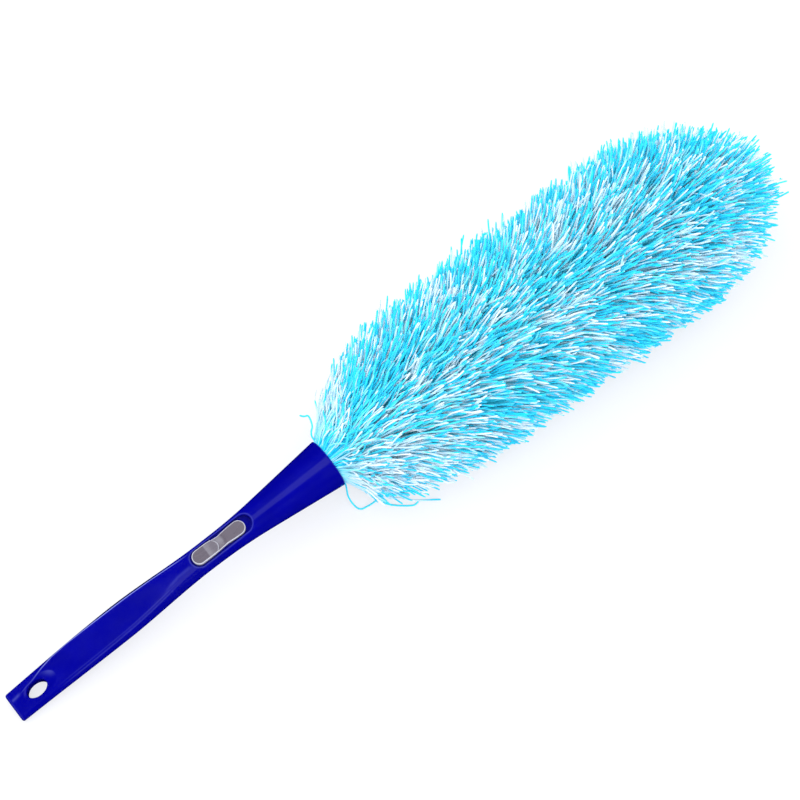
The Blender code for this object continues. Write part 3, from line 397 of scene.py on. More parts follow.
# Its last colour is that of the handle's painted highlights
BLUE = plastic(
    "handle_plastic", (0.0003, 0.0003, 0.26), (0.0002, 0.0002, 0.22), 0.10, 0.16, (0.28, 0.31, 0.80)
)
COVER = plastic("cover_plastic", (0.0003, 0.0003, 0.25), (0.0002, 0.0002, 0.21), 0.20, 0.30)
# Its last colour is that of the thumb slide's rim wear and painted highlights
GREY = plastic(
    "button_plastic", (0.134, 0.112, 0.136), (0.120, 0.100, 0.122), 0.22, 0.34, (0.55, 0.53, 0.57)
)
NATURAL = plastic("inner_plastic", (0.54, 0.54, 0.52), (0.47, 0.47, 0.45), 0.4, 0.55)
STEEL = steel("bright_steel")
BACKING = woven("backing_tape")
YARN = yarn("yarn_strand")
UNDER = under_yarn("yarn_depth")

CAD_MATERIALS = {
    "handle_body": BLUE,
    "handle_back_cover": COVER,
    "cover_screw_1": STEEL,
    "cover_screw_2": STEEL,
    "cover_screw_3": STEEL,
    "latch_leaf": STEEL,
    "return_spring": STEEL,
    "release_button": GREY,
    "release_slide": NATURAL,
    "slide_screw": STEEL,
    "head_plug": NATURAL,
    "core_rod": STEEL,
    "core_sleeve": NATURAL,
    "yarn_backing": BACKING,
    "yarn_clamp": STEEL,
    "tip_cap": NATURAL,
}
for node_name, material in CAD_MATERIALS.items():
    node = frame["nodes"][node_name]
    node.data.materials.clear()
    node.data.materials.append(material)


# Yarn

def line_at(line, rows, knots):
    return np.stack([np.interp(rows, knots, [p[k] for p in line]) for k in range(2)], -1)


def soft_field(seed, rows, angles, t, waves=9):
    """A smooth random wave over the pile, so that strands side by side bend alike."""
    rng = np.random.default_rng(seed)
    total = np.zeros((len(rows), len(t)))
    for _ in range(waves):
        along, turns, drift = rng.uniform(3, 20), rng.integers(-8, 9), rng.uniform(-0.8, 0.8)
        phase = 2 * math.pi * along * rows + turns * angles + 2 * math.pi * rng.random()
        total += rng.normal() * np.sin(phase[:, None] + 2 * math.pi * drift * t[None, :])
    return total / math.sqrt(waves)


def lock_of(rows, angles):
    """Which tuft each strand belongs to, and where that tuft's middle is."""
    shift = np.random.default_rng(3).random((LOCK_ROWS + 1, LOCK_ANGLES, 2)) - 0.5
    turn = 2 * math.pi / LOCK_ANGLES
    row_lock = np.round(rows * LOCK_ROWS).astype(int)
    angle_lock = np.round(angles / turn).astype(int)
    centre = shift[row_lock, angle_lock % LOCK_ANGLES]
    middle_row = np.clip((row_lock + centre[:, 0] * LOCK_SCATTER) / LOCK_ROWS, 0, 1)
    return row_lock, angle_lock % LOCK_ANGLES, middle_row, (angle_lock + centre[:, 1] * LOCK_SCATTER) * turn


def strand_paths(rng, count):
    """Middle lines of the strands in the duster's own frame, with their row, angle and straying."""
    tips = np.array(TIP_LINE)
    lengths = np.concatenate([[0], np.cumsum(np.hypot(*np.diff(tips, axis=0).T))])
    knots = lengths / lengths[-1]
    fine = np.linspace(0, 1, 400)
    weight = np.cumsum(line_at(TIP_LINE, fine, knots)[:, 1] ** 0.8)
    rows = np.interp(rng.random(count), weight / weight[-1], fine)
    angles = rng.random(count) * 2 * math.pi
    _, _, lock_row, lock_angle = lock_of(rows, angles)
    stray = rng.random(count) < STRAY_SHARE
    tip_rows = np.clip(rows + (lock_row - rows) * LOCK_PULL, 0, 1)
    tip_angles = angles + (lock_angle - angles) * LOCK_PULL + rng.normal(0, TURN_SPREAD, count)
    tip_angles += np.where(stray, rng.normal(0, STRAY_TURN_SPREAD, count), 0)

    tip, root = line_at(TIP_LINE, tip_rows, knots), line_at(ROOT_LINE, rows, knots)
    tip_radius = tip[:, 1] * (1 + np.clip(rng.normal(0, RADIUS_SPREAD, count), *RADIUS_RANGE))
    tip_x = tip[:, 0] + np.clip(rng.normal(0, PLACE_SPREAD, count), *PLACE_RANGE)
    near_side = np.clip(-np.cos(angles), 0, 1)
    sagging = near_side * np.exp(-(rows / SAG_ROWS) ** 2)
    tip_x -= SAG_BACK * sagging
    swelling = SWELL * near_side * smooth_step(rows, *SWELL_START) * (1 - smooth_step(rows, *SWELL_END))
    tip_radius += SAG_OUT * sagging + swelling
    near_mouth = 1 - smooth_step(rows, *MOUTH_ROWS)
    root_radius = root[:, 1] * (1 - near_mouth * ROOT_INSET_SHARE * rng.random(count) ** 1.6)
    root_x = root[:, 0] - near_mouth * ROOT_SETBACK * rng.random(count)

    t = np.array(STRAND_RINGS)
    reach = (1 - SHORTER_SHARE * rng.random(count) ** 2.2)[:, None] * t[None, :]
    forward = (1 + SPREAD_BIAS) * reach - SPREAD_BIAS * reach ** 2
    outward = (1 - SPREAD_BIAS) * reach + SPREAD_BIAS * reach ** 2
    x = root_x[:, None] + (tip_x - root_x)[:, None] * forward
    radius = root_radius[:, None] + (tip_radius - root_radius)[:, None] * outward
    angle = angles[:, None] + (tip_angles - angles)[:, None] * reach ** TURN_BIAS

    # Bends that neighbours share, then each strand's own
    shared = np.minimum(t * 1.1, 1)[None, :]
    bend_x, bend_out, bend_round = SHARED_BENDS
    x = x + bend_x * shared * soft_field(21, rows, angles, t)
    radius = radius + bend_out * shared * soft_field(22, rows, angles, t) * (1 - 0.5 * t[None, :])
    angle = angle + bend_round * shared * soft_field(23, rows, angles, t) / np.maximum(radius, 0.02)
    points = np.stack([x, radius * np.cos(angle), radius * np.sin(angle)], -1)
    for cycles, size in OWN_WAVES:
        phase = rng.random((count, 3)) * 2 * math.pi
        turn = 2 * math.pi * cycles * t[None, :, None] + phase[:, None, :]
        wave = (np.sin(turn) - np.sin(phase)[:, None, :]) * rng.normal(0, size, (count, 1, 3))
        points += wave * np.minimum(1, 0.25 + t)[None, :, None]
    points[..., 2] -= TIP_SAG * t[None, :] ** 2 * (0.4 + 0.6 * np.cos(angle) ** 2)
    points[..., 1] += sideways(points[..., 0])
    return points, rows, angles, stray


def sideways(x):
    """How far the pile's middle line has bent to the side."""
    return BEND_SIDEWAYS * (np.clip(x, 0, None) / PILE_LENGTH) ** BEND_POWER


def keep_in_mouth(points):
    """Draws the strands in where they pass through the rim."""
    radius = np.hypot(points[..., 1], points[..., 2])
    room = np.interp(points[..., 0], *np.array(MOUTH_ROOM).T)
    share = np.where(points[..., 0] < MOUTH_ROOM_END, np.minimum(1, room / np.maximum(radius, 1e-6)), 1)
    points[..., 1] *= share
    points[..., 2] *= share
    return points


def cyan_share(rows, angles):
    """How likely each strand is cyan: broad winding bands, tufts, and a cyan side at the mouth."""
    rng = np.random.default_rng(5)
    broad = np.zeros(len(rows))
    for _ in range(BAND_WAVES):
        along, turns = rng.uniform(1, 9), rng.integers(-5, 6)
        broad += rng.normal() * np.cos(2 * math.pi * along * rows + turns * angles + rng.random() * 6.3)
    row_lock, angle_lock, _, _ = lock_of(rows, angles)
    tuft = rng.normal(0, 1, (LOCK_ROWS + 1, LOCK_ANGLES))[row_lock, angle_lock]
    aside = (angles - CYAN_SIDE + math.pi) % (2 * math.pi) - math.pi
    side = SIDE_WEIGHT * np.exp(-(aside / SIDE_WIDTH) ** 2)
    mouth = MOUTH_WEIGHT * np.exp(-(rows / MOUTH_REACH) ** 4) * (side - 1.0)
    return 1 / (1 + np.exp(-(BAND_WEIGHT * broad + TUFT_WEIGHT * tuft + mouth - WHITE_LEAN)))


def tube_vertices(points, radii, sides):
    """Vertices of tubes round the given middle lines."""
    tangent = np.gradient(points, axis=1)
    tangent /= np.linalg.norm(tangent, axis=-1, keepdims=True) + 1e-12
    chord = np.abs(points[:, -1] - points[:, 0])
    helper = np.eye(3)[np.argmin(chord, axis=1)][:, None, :]
    side = np.cross(tangent, helper)
    side /= np.linalg.norm(side, axis=-1, keepdims=True) + 1e-12
    other = np.cross(tangent, side)
    turn = 2 * math.pi * np.arange(sides) / sides
    ring = (
        side[:, :, None, :] * np.cos(turn)[None, None, :, None]
        + other[:, :, None, :] * np.sin(turn)[None, None, :, None]
    )
    return (points[:, :, None, :] + ring * radii[None, :, None, None]).reshape(-1, 3)


def strand_piece(name, points, colour_row, radii, along):
    """One mesh of many strands; its OFBake map says how far along and in which colour row a place is."""
    count, rings = points.shape[:2]
    sides = STRAND_SIDES
    vertices = tube_vertices(points, radii, sides)
    strand, ring, side = (
        grid.ravel() for grid in
        np.meshgrid(np.arange(count), np.arange(rings - 1), np.arange(sides), indexing="ij")
    )
    beside = (side + 1) % sides
    base = (strand * rings + ring) * sides
    quads = np.stack([base + side, base + beside, base + sides + beside, base + sides + side], -1)
    caps = (np.arange(count) * rings * sides)[:, None] + (rings - 1) * sides + np.arange(sides)[None, :]
    total = len(quads)
    mesh = bpy.data.meshes.new(name)
    mesh.vertices.add(len(vertices))
    mesh.vertices.foreach_set("co", vertices.astype(np.float32).ravel())
    loops = np.concatenate([quads.ravel(), caps.ravel()])
    mesh.loops.add(len(loops))
    mesh.loops.foreach_set("vertex_index", loops.astype(np.int32))
    starts = np.concatenate([np.arange(total) * 4, total * 4 + np.arange(count) * sides])
    mesh.polygons.add(len(starts))
    mesh.polygons.foreach_set("loop_start", starts.astype(np.int32))
    sizes = np.concatenate([np.full(total, 4), np.full(count, sides)])
    mesh.polygons.foreach_set("loop_total", sizes.astype(np.int32))
    u = np.stack([along[ring], along[ring], along[ring + 1], along[ring + 1]], -1)
    around = np.stack([side, side + 1, side + 1, side], -1) / sides
    v = (colour_row[strand][:, None] + ROW_MARGIN + (1 - 2 * ROW_MARGIN) * around) / COLOUR_ROWS
    cap_v = np.repeat(((colour_row + 0.5) / COLOUR_ROWS)[:, None], sides, 1)
    uv = np.stack([
        np.concatenate([u.ravel(), np.full(count * sides, CAP_ALONG)]),
        np.concatenate([v.ravel(), cap_v.ravel()]),
    ], -1)
    layer = mesh.uv_layers.new(name="OFBake")
    layer.data.foreach_set("uv", uv.astype(np.float32).ravel())
    mesh.materials.append(YARN)
    mesh.update(calc_edges=True)
    mesh.shade_smooth()
    obj = bpy.data.objects.new(name, mesh)
    bpy.context.scene.collection.objects.link(obj)
    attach(obj, "head")
    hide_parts("yarn_pile")


def keep_near_cad(points):
    """Holds the outermost tips close to the solid pile's own sides."""
    y = points[..., 1]
    over = np.abs(y) - SIDE_SOFT
    held = SIDE_SOFT + (SIDE_LIMIT - SIDE_SOFT) * np.tanh(over / (SIDE_LIMIT - SIDE_SOFT))
    points[..., 1] = np.where(over > 0, np.sign(y) * held, y)
    points[..., 2] = np.maximum(points[..., 2], STRAND_RADIUS)
    return points


def build_yarn():
    rng = np.random.default_rng(11)
    count = STRANDS_IN_A_PIECE * STRAND_PIECES
    points, rows, angles, stray = strand_paths(rng, count)
    points = keep_near_cad(to_row(lay_down(keep_in_mouth(points))))
    cyan = rng.random(count) < cyan_share(rows, angles)
    cyan &= ~stray | (rng.random(count) < STRAY_CYAN_SHARE)
    half = COLOUR_ROWS // 2
    colour_row = rng.integers(0, half, count) + np.where(cyan, half, 0)
    radii = STRAND_RADIUS * np.array(STRAND_THICKNESS)
    order = np.argsort(rows, kind="stable")
    for k in range(STRAND_PIECES):
        chosen = order[k * STRANDS_IN_A_PIECE:(k + 1) * STRANDS_IN_A_PIECE]
        strand_piece(
            f"yarn_strands_{k + 1}", points[chosen], colour_row[chosen], radii, np.array(STRAND_RINGS)
        )


def curve_through(points, count):
    """Evenly spread places along a soft curve that passes through all the given ones."""
    points = np.array(points)
    padded = np.concatenate([2 * points[:1] - points[1:2], points, 2 * points[-1:] - points[-2:-1]])
    place = np.linspace(0, len(points) - 1 - 1e-9, count)
    k = place.astype(int)
    t = (place - k)[:, None]
    before, start, end, after = (padded[k + i] for i in range(4))
    return 0.5 * (
        2 * start + (end - before) * t + (2 * before - 5 * start + 4 * end - after) * t ** 2
        + (3 * start - before - 3 * end + after) * t ** 3
    )


def build_loose_strands():
    paths = np.array([curve_through(points, LOOSE_RINGS) for _, points in LOOSE_STRANDS])
    colour_row = np.array([row for row, _ in LOOSE_STRANDS])
    along = np.linspace(0.5, 1, LOOSE_RINGS)
    radii = np.full(LOOSE_RINGS, STRAND_RADIUS * 1.15)
    radii[-1] *= STRAND_THICKNESS[-1]
    strand_piece("yarn_loose_strands", paths, colour_row, radii, along)


def build_underlayer():
    """The crowded depth of the pile, seen only in the gaps between strands."""
    around = UNDER_SIDES
    stations = np.linspace(0, 1, UNDER_RINGS)
    line = np.array(UNDERLAYER_LINE)
    x = line[0, 0] + stations * (line[-1, 0] - line[0, 0])
    radius = np.interp(x, line[:, 0], line[:, 1])
    rng = np.random.default_rng(9)
    angle = 2 * math.pi * np.arange(around) / around
    lumps = np.zeros((len(stations), around))
    for _ in range(UNDER_WAVES):
        turns, phase = rng.integers(2, 14), rng.random() * 6
        wave = 2 * math.pi * stations[:, None] * rng.uniform(4, 30) + turns * angle[None] + phase
        lumps += rng.normal() * np.cos(wave)
    radius = radius[:, None] * (1 + UNDER_LUMP_SHARE * lumps * np.clip(x / 0.03, 0, 1)[:, None])
    across = radius * np.cos(angle)[None] + sideways(x)[:, None]
    points = np.stack([np.repeat(x[:, None], around, 1), across, radius * np.sin(angle)[None]], -1)
    points = to_row(lay_down(points))
    points[..., 2] = np.maximum(points[..., 2], UNDER_LOWEST)
    faces = loft_faces(len(stations), around)
    under = mesh_object("yarn_underlayer", points.reshape(-1, 3), faces, UNDER)
    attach(under, "head")
    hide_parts("yarn_pile")


build_underlayer()
build_yarn()
build_loose_strands()


# Handle: the CAD source's own sizes, drawn finer and with rounded lips

GAP = 0.0003
OVERRUN = 0.004
HANDLE_LENGTH = 0.277
GRIP_AT = 0.092
FLAT_END_AT = 0.160
NECK_AT = 0.167
ARCH_AT = 0.190
ARCH_DROP = 0.016
END_WIDTH, GRIP_WIDTH, NECK_WIDTH = 0.0225, 0.0256, 0.0198
END_TOP, GRIP_TOP, NECK_TOP = 0.0075, 0.0100, 0.0086
END_FLAT, GRIP_FLAT = 0.0045, 0.0068
END_BOTTOM, GRIP_BOTTOM, NECK_BOTTOM = 0.0045, 0.0072, 0.0086
END_ROUNDING, FLARE_BLEND, WALL = 0.0016, 0.0022, 0.0022
MOUTH_DIAMETER, CONE_LENGTH, CONE_ROOT_DIAMETER = 0.0380, 0.085, 0.0195
RIM_ROUNDING, SOCKET_DEPTH = 0.0012, 0.064
HOLE_AT, HOLE_LENGTH, HOLE_WIDTH = 0.021, 0.016, 0.0104
DISH_LENGTH, DISH_WIDTH, DISH_DEPTH, DISH_SHIFT = 0.026, 0.0150, 0.0011, 0.0015
COVER_START, COVER_END = 0.038, 0.205
COVER_FACE_AT_START, COVER_FACE_AT_NECK, CAVITY_END_GAP = 0.0016, 0.0051, 0.002
POST_RADIUS, SCREW_PLACES = 0.0032, (0.052, 0.099, 0.146)
SCREW_LENGTH, SCREW_RADIUS, SCREW_HEAD_RADIUS, COUNTERBORE_DEPTH = 0.0070, 0.0013, 0.0027, 0.0019
BUTTON_REAR, BUTTON_LENGTH, BUTTON_WIDTH = -0.119, 0.048, 0.0121
BUTTON_TRAVEL, BUTTON_GAP, RECESS_FLOOR, FLOOR_WALL = 0.004, 0.0005, 0.0050, 0.0015
BUTTON_TOP, BUTTON_CHAMFER = 0.0091, 0.0007
STEM_LENGTH, STEM_WIDTH = 0.012, 0.0044
SLIDE_THICKNESS, SLIDE_SCREW_LENGTH, SLIDE_SCREW_RADIUS = 0.0018, 0.0042, 0.0009
SPRING_WALL, LEAF_THICKNESS, LEAF_WIDTH, LEAF_CLAMP_LENGTH, LEAF_FLEX = 0.002, 0.0005, 0.0050, 0.006, 0.0014
PLUG_SETBACK, PLUG_NOSE_RADIUS, PLUG_NOSE_LENGTH, PLUG_CLEARANCE = 0.012, 0.0038, 0.0100, 0.0004
KEY_WIDTH, KEY_HEIGHT, KEY_LENGTH = 0.0030, 0.0016, 0.024
GRIP_POWER, ROUND_POWER = 2.5, 2.0

# The scene's recess ends sooner than the solid's, because its thumb slide is shorter
RECESS_SHORTER = 0.0022

TAPER_START = PLUG_NOSE_LENGTH - SOCKET_DEPTH
NECK_CAVITY_FRONT = -SOCKET_DEPTH - SPRING_WALL
CAVITY_TOP = RECESS_FLOOR - FLOOR_WALL
BUTTON_FRONT = BUTTON_REAR + BUTTON_LENGTH
BUTTON_MIDDLE = (BUTTON_REAR + BUTTON_FRONT) / 2
RECESS_REAR = BUTTON_REAR - BUTTON_GAP
RECESS_FRONT = BUTTON_FRONT + BUTTON_TRAVEL + BUTTON_GAP - RECESS_SHORTER
LEAF_HEIGHT = -COVER_FACE_AT_NECK + GAP + LEAF_THICKNESS / 2
LEG_BOTTOM = LEAF_HEIGHT + LEAF_THICKNESS / 2 + GAP

# What the scene adds to the source's sizes: soft edges, lips, and the forms of the slide and dish
EDGE_SOFTNESS = ((0, 0.0022), (0.030, 0.0016), (0.045, 0.0007), (0.140, 0.0007), (0.158, 0.0014))
LIP_RADIUS = 0.0010
LIP_TURN = math.radians(78)
LIP_RISE, LIP_ROOM_SHARE, LIP_TOP_SHARE = 0.00025, 0.7, 1.02
LEAST_CREASE = 0.10
# Where the painted highlight line and the painted highlight sweep run: places along the handle and across it
HIGHLIGHT_LINE = (
    (0.0090, 0.0043), (0.0116, 0.0047), (0.0160, 0.0056), (0.0226, 0.0067), (0.0315, 0.0089),
    (0.0420, 0.0107), (0.0550, 0.0112), (0.0700, 0.0108), (0.1050, 0.0100), (0.1275, 0.0090),
    (0.1560, 0.0070),
)
SWEEP_LINE = ((0.125, -0.0072), (0.130, -0.0055), (0.135, -0.0037), (0.144, -0.0020), (0.154, -0.0016))
BUTTON_WAIST = 0.0008
PAD_END, SCOOP_END, ARC_BULGE, RIDGE, RIM_WIDTH = 0.375, 0.575, 0.073, 0.00022, 0.0007
PAD_CROWN, PAD_SLOPE, PAD_SLOPE_AT, RIDGE_SHARE = 0.0001, 0.0005, 0.30, 0.010
SCOOP_DROPS = ((0.0008, 0.016), (0.0003, 0.06))
SECOND_PAD_RISE, RISE_BEFORE, RISE_AFTER = 0.0014, 0.06, 0.03
WAIST_AHEAD, WAIST_REACH = 0.12, 0.0070
RIM_INSET, FRONT_INSET, BUTTON_STEP = 0.0006, 0.0032, 0.00025
DISH_LONGER, DISH_SHORTER, DISH_FULLNESS, DISH_RIM = 0.002, 0.001, 1.25, (0.52, 1.05)
SMOOTH_ANGLE, BUTTON_SMOOTH_ANGLE, LEAST_AGREEMENT = math.radians(38), math.radians(42), 0.6
TABLE_REACH, TABLE_HALF_WIDTH, TABLE_DEPTH = 0.5, 0.2, 0.04

# The outer surface's rings: where each span along the handle ends, and its step
RING_SPANS = ((0.044, 0.0004), (0.135, 0.0013), (0.216, 0.0008), (HANDLE_LENGTH - RIM_ROUNDING, 0.0018))
TOP_POINTS, SIDE_POINTS, LOWER_POINTS, TOP_CROWDING, EDGE_CLOSING = 45, 19, 41, 1.25, 40

# Painted highlights and painted shade on the grip: ranges from the free end, widths and tones
LINE_START, LINE_FULL, LINE_END = (0.009, 0.013), (0.016, 0.045), (0.140, 0.162)
LINE_WIDTH, LINE_TONE, LINE_LEAST_TONE = 0.00034, 0.80, 0.12
PAINTED_SHADE_OFF_LINE, PAINTED_SHADE_START, PAINTED_SHADE_END, PAINTED_SHADE_TONE = (0.0003, 0.0006), (0.030, 0.045), (0.125, 0.155), 0.85
FAR_LINES, FAR_LINE_WIDTH = ((-0.0001, 0.07), (0.0018, 0.05)), 0.00035
FAR_START, FAR_END = (0.030, 0.055), (0.120, 0.150)
SPOT_START, SPOT_END, SPOT_Y, SPOT_SLANT, SPOT_WIDTH = (0.0016, 0.003), (0.007, 0.011), 0.0036, 0.10, 0.0010
SPOT_TONE, END_LINE_AT, END_LINE_WIDTH, END_LINE_TONE = 0.12, 0.0012, 0.0003, 0.06
BOWL_LONGER, BOWL_WIDER, BOWL_TURN, BOWL_TURN_WIDTH = 0.0016, 0.0006, 0.50, 0.42
BOWL_START, BOWL_END, BOWL_TONE = (0.62, 0.98), (0.99, 1.04), 0.12
SWEEP_START, SWEEP_END, SWEEP_WIDTH, SWEEP_TONE = (0.126, 0.140), (0.153, 0.157), 0.0011, 0.06
LIP_LINE_END, LIP_LINE_OUT, LIP_LINE_WIDTH, LIP_LINE_TONE = 0.0065, 0.0007, 0.00035, 0.11
LEAST_PAINTED_HEIGHT = 0.001

# Painted highlights and painted shade on the thumb slide's face: ranges in shares of its length, and how
# strong each is
BAND_START, BAND_FADE, BAND_TONE, BAND_LOSS = (0.245, 0.262), (0.28, 0.36), 0.20, 0.6
SCOOP_TONE, SCOOP_MIDDLE, SCOOP_WIDTH = 0.24, 0.0012, 0.0042
FOLD_TONE, FOLD_BULGE, FOLD_BACK, FOLD_SHARE = 0.55, 0.035, 0.02, 0.010
FOLD_MIDDLE, FOLD_WIDTH = 0.001, 0.004
SECOND_PAD_TONE, SECOND_PAD_FADE = 0.30, (0.64, 0.72)
RIDGE_TONE, RIDGE_TONE_SHARE = 0.85, 0.007


def smooth_through(points):
    """A monotone curve through the given points, for whole arrays of places."""
    xs, ys = np.array([p[0] for p in points], float), np.array([p[1] for p in points], float)
    steps = np.diff(xs)
    slopes = np.diff(ys) / steps
    tangents = np.zeros(len(xs))
    for i in range(1, len(xs) - 1):
        before, after = slopes[i - 1], slopes[i]
        if before * after > 0:
            weight_a, weight_b = 2 * steps[i] + steps[i - 1], steps[i] + 2 * steps[i - 1]
            tangents[i] = (weight_a + weight_b) / (weight_a / before + weight_b / after)
    tangents[0], tangents[-1] = slopes[0], slopes[-1]

    def value(x):
        x = np.clip(x, xs[0], xs[-1])
        i = np.minimum(np.searchsorted(xs, x, side="right") - 1, len(steps) - 1)
        t = (x - xs[i]) / steps[i]
        rise = ys[i] * (1 + 2 * t) * (1 - t) ** 2 + ys[i + 1] * t * t * (3 - 2 * t)
        return rise + (tangents[i] * t * (1 - t) ** 2 - tangents[i + 1] * t * t * (1 - t)) * steps[i]

    return value


width_along = smooth_through(
    [(0, END_WIDTH), (GRIP_AT, GRIP_WIDTH), (NECK_AT, NECK_WIDTH), (HANDLE_LENGTH, NECK_WIDTH)]
)
top_along = smooth_through(
    [(0, END_TOP), (GRIP_AT, GRIP_TOP), (NECK_AT, NECK_TOP), (HANDLE_LENGTH, NECK_TOP)]
)
flat_along = smooth_through(
    [(0, END_FLAT), (GRIP_AT, GRIP_FLAT), (FLAT_END_AT, NECK_TOP), (HANDLE_LENGTH, MOUTH_DIAMETER)]
)
bottom_along = smooth_through(
    [(0, END_BOTTOM), (GRIP_AT, GRIP_BOTTOM), (NECK_AT, NECK_BOTTOM), (HANDLE_LENGTH, NECK_BOTTOM)]
)
cover_face_along = smooth_through([(COVER_START, COVER_FACE_AT_START), (NECK_AT, COVER_FACE_AT_NECK)])


def smooth_max(a, b, blend):
    return (a + b + np.sqrt((a - b) ** 2 + blend ** 2)) / 2


def cone_radius(s):
    return (MOUTH_DIAMETER - (MOUTH_DIAMETER - CONE_ROOT_DIAMETER) * (HANDLE_LENGTH - s) / CONE_LENGTH) / 2


def centre_height(s):
    return -ARCH_DROP * (np.maximum(ARCH_AT - s, 0) / ARCH_AT) ** 2


def edge_inset(s):
    inset = 0
    for rounding, distance in ((END_ROUNDING, s), (RIM_ROUNDING, HANDLE_LENGTH - s)):
        left = np.clip(rounding - distance, 0, rounding)
        inset = inset + rounding - np.sqrt(rounding ** 2 - left ** 2)
    return inset


def section_sizes(s):
    """Half width, top, flat, bottom and roundness of the section, from the handle's centre line."""
    cone, inset = cone_radius(s), edge_inset(s)
    half_width = smooth_max(width_along(s) / 2, cone, FLARE_BLEND / 2) - inset
    top = smooth_max(top_along(s), cone, FLARE_BLEND / 2) - inset
    bottom = smooth_max(bottom_along(s), cone, FLARE_BLEND / 2) - inset
    power = GRIP_POWER + (ROUND_POWER - GRIP_POWER) * smooth_step(s, ARCH_AT, HANDLE_LENGTH - SOCKET_DEPTH)
    return half_width, top, flat_along(s) - inset, bottom, power


def top_height(s, y):
    """Height of the handle's upper surface over its centre line, without hole or recess."""
    half_width, top, flat, _, power = section_sizes(s)
    share = np.clip(np.abs(y) / half_width, 0, 1)
    round_top = top * (1 - share ** power) ** (1 / power)
    soft = np.interp(s, *np.array(EDGE_SOFTNESS).T)
    return (round_top + flat - np.sqrt((round_top - flat) ** 2 + soft ** 2)) / 2


def dish_depth(s, y):
    """The shallow bowl round the hang hole, drawn out towards the grip."""
    along = s - HOLE_AT - DISH_SHIFT
    along = np.where(
        along > 0, along / (DISH_LENGTH / 2 + DISH_LONGER), along / (DISH_LENGTH / 2 - DISH_SHORTER)
    )
    distance = np.sqrt(along ** 2 + (y / (DISH_WIDTH / 2)) ** 2)
    return DISH_DEPTH * DISH_FULLNESS * (1 - smooth_step(distance, *DISH_RIM))


def crease_share(top, flat, power):
    """How far across the section the flat top reaches, from 0 in the middle to 1 at the side."""
    return (1 - np.minimum(flat / top, 1) ** power) ** (1 / power)


def near(distance, width):
    return np.exp(-(distance / width) ** 2)


def between(x, start, end):
    """Grows from 0 to 1 over the first range and falls back over the second."""
    return smooth_step(x, *start) * (1 - smooth_step(x, *end))


def painted_grip_light(x, y, z):
    """Painted highlights along the grip's edges, round the dish, on the recess lip and at the free end, and
    below zero a painted dark shade beside the edge line.
    """
    s = x + HANDLE_LENGTH
    half_width, top, flat, _, power = section_sizes(s)
    crease = half_width * crease_share(top, flat, power)
    off_line = y - np.interp(s, *np.array(HIGHLIGHT_LINE).T)
    growth = LINE_LEAST_TONE + (1 - LINE_LEAST_TONE) * smooth_step(s, *LINE_FULL)
    painted_shading_and_wear = LINE_TONE * near(off_line, LINE_WIDTH) * between(s, LINE_START, LINE_END) * growth
    painted_shading_and_wear = painted_shading_and_wear - PAINTED_SHADE_TONE * smooth_step(off_line, *PAINTED_SHADE_OFF_LINE) * between(s, PAINTED_SHADE_START, PAINTED_SHADE_END)
    for inset, weight in FAR_LINES:
        far_line = near(-y - crease + inset, FAR_LINE_WIDTH)
        painted_shading_and_wear = painted_shading_and_wear + weight * far_line * between(s, FAR_START, FAR_END)
    spot = near(y - SPOT_Y - SPOT_SLANT * s, SPOT_WIDTH) * between(s, SPOT_START, SPOT_END)
    painted_shading_and_wear = painted_shading_and_wear + SPOT_TONE * spot + END_LINE_TONE * near(s - END_LINE_AT, END_LINE_WIDTH)
    ahead = (s - HOLE_AT - DISH_SHIFT) / (DISH_LENGTH / 2 + BOWL_LONGER)
    bowl = np.hypot(ahead, y / (DISH_WIDTH / 2 + BOWL_WIDER))
    towards_grip = near(np.arctan2(y / (DISH_WIDTH / 2), ahead) - BOWL_TURN, BOWL_TURN_WIDTH)
    painted_shading_and_wear = painted_shading_and_wear + BOWL_TONE * between(bowl, BOWL_START, BOWL_END) * towards_grip
    middle = np.interp(s, *np.array(SWEEP_LINE).T)
    painted_shading_and_wear = painted_shading_and_wear + SWEEP_TONE * near(y - middle, SWEEP_WIDTH) * between(s, SWEEP_START, SWEEP_END)
    off = np.maximum(np.maximum(RECESS_REAR + LIP_LINE_END - x, x - RECESS_FRONT + LIP_LINE_END), 0)
    lip = np.hypot(off, y) - BUTTON_WIDTH / 2 - BUTTON_GAP
    painted_shading_and_wear = painted_shading_and_wear + near(lip - LIP_LINE_OUT, LIP_LINE_WIDTH) * LIP_LINE_TONE
    return np.where(z - centre_height(s) > LEAST_PAINTED_HEIGHT, painted_shading_and_wear, 0)


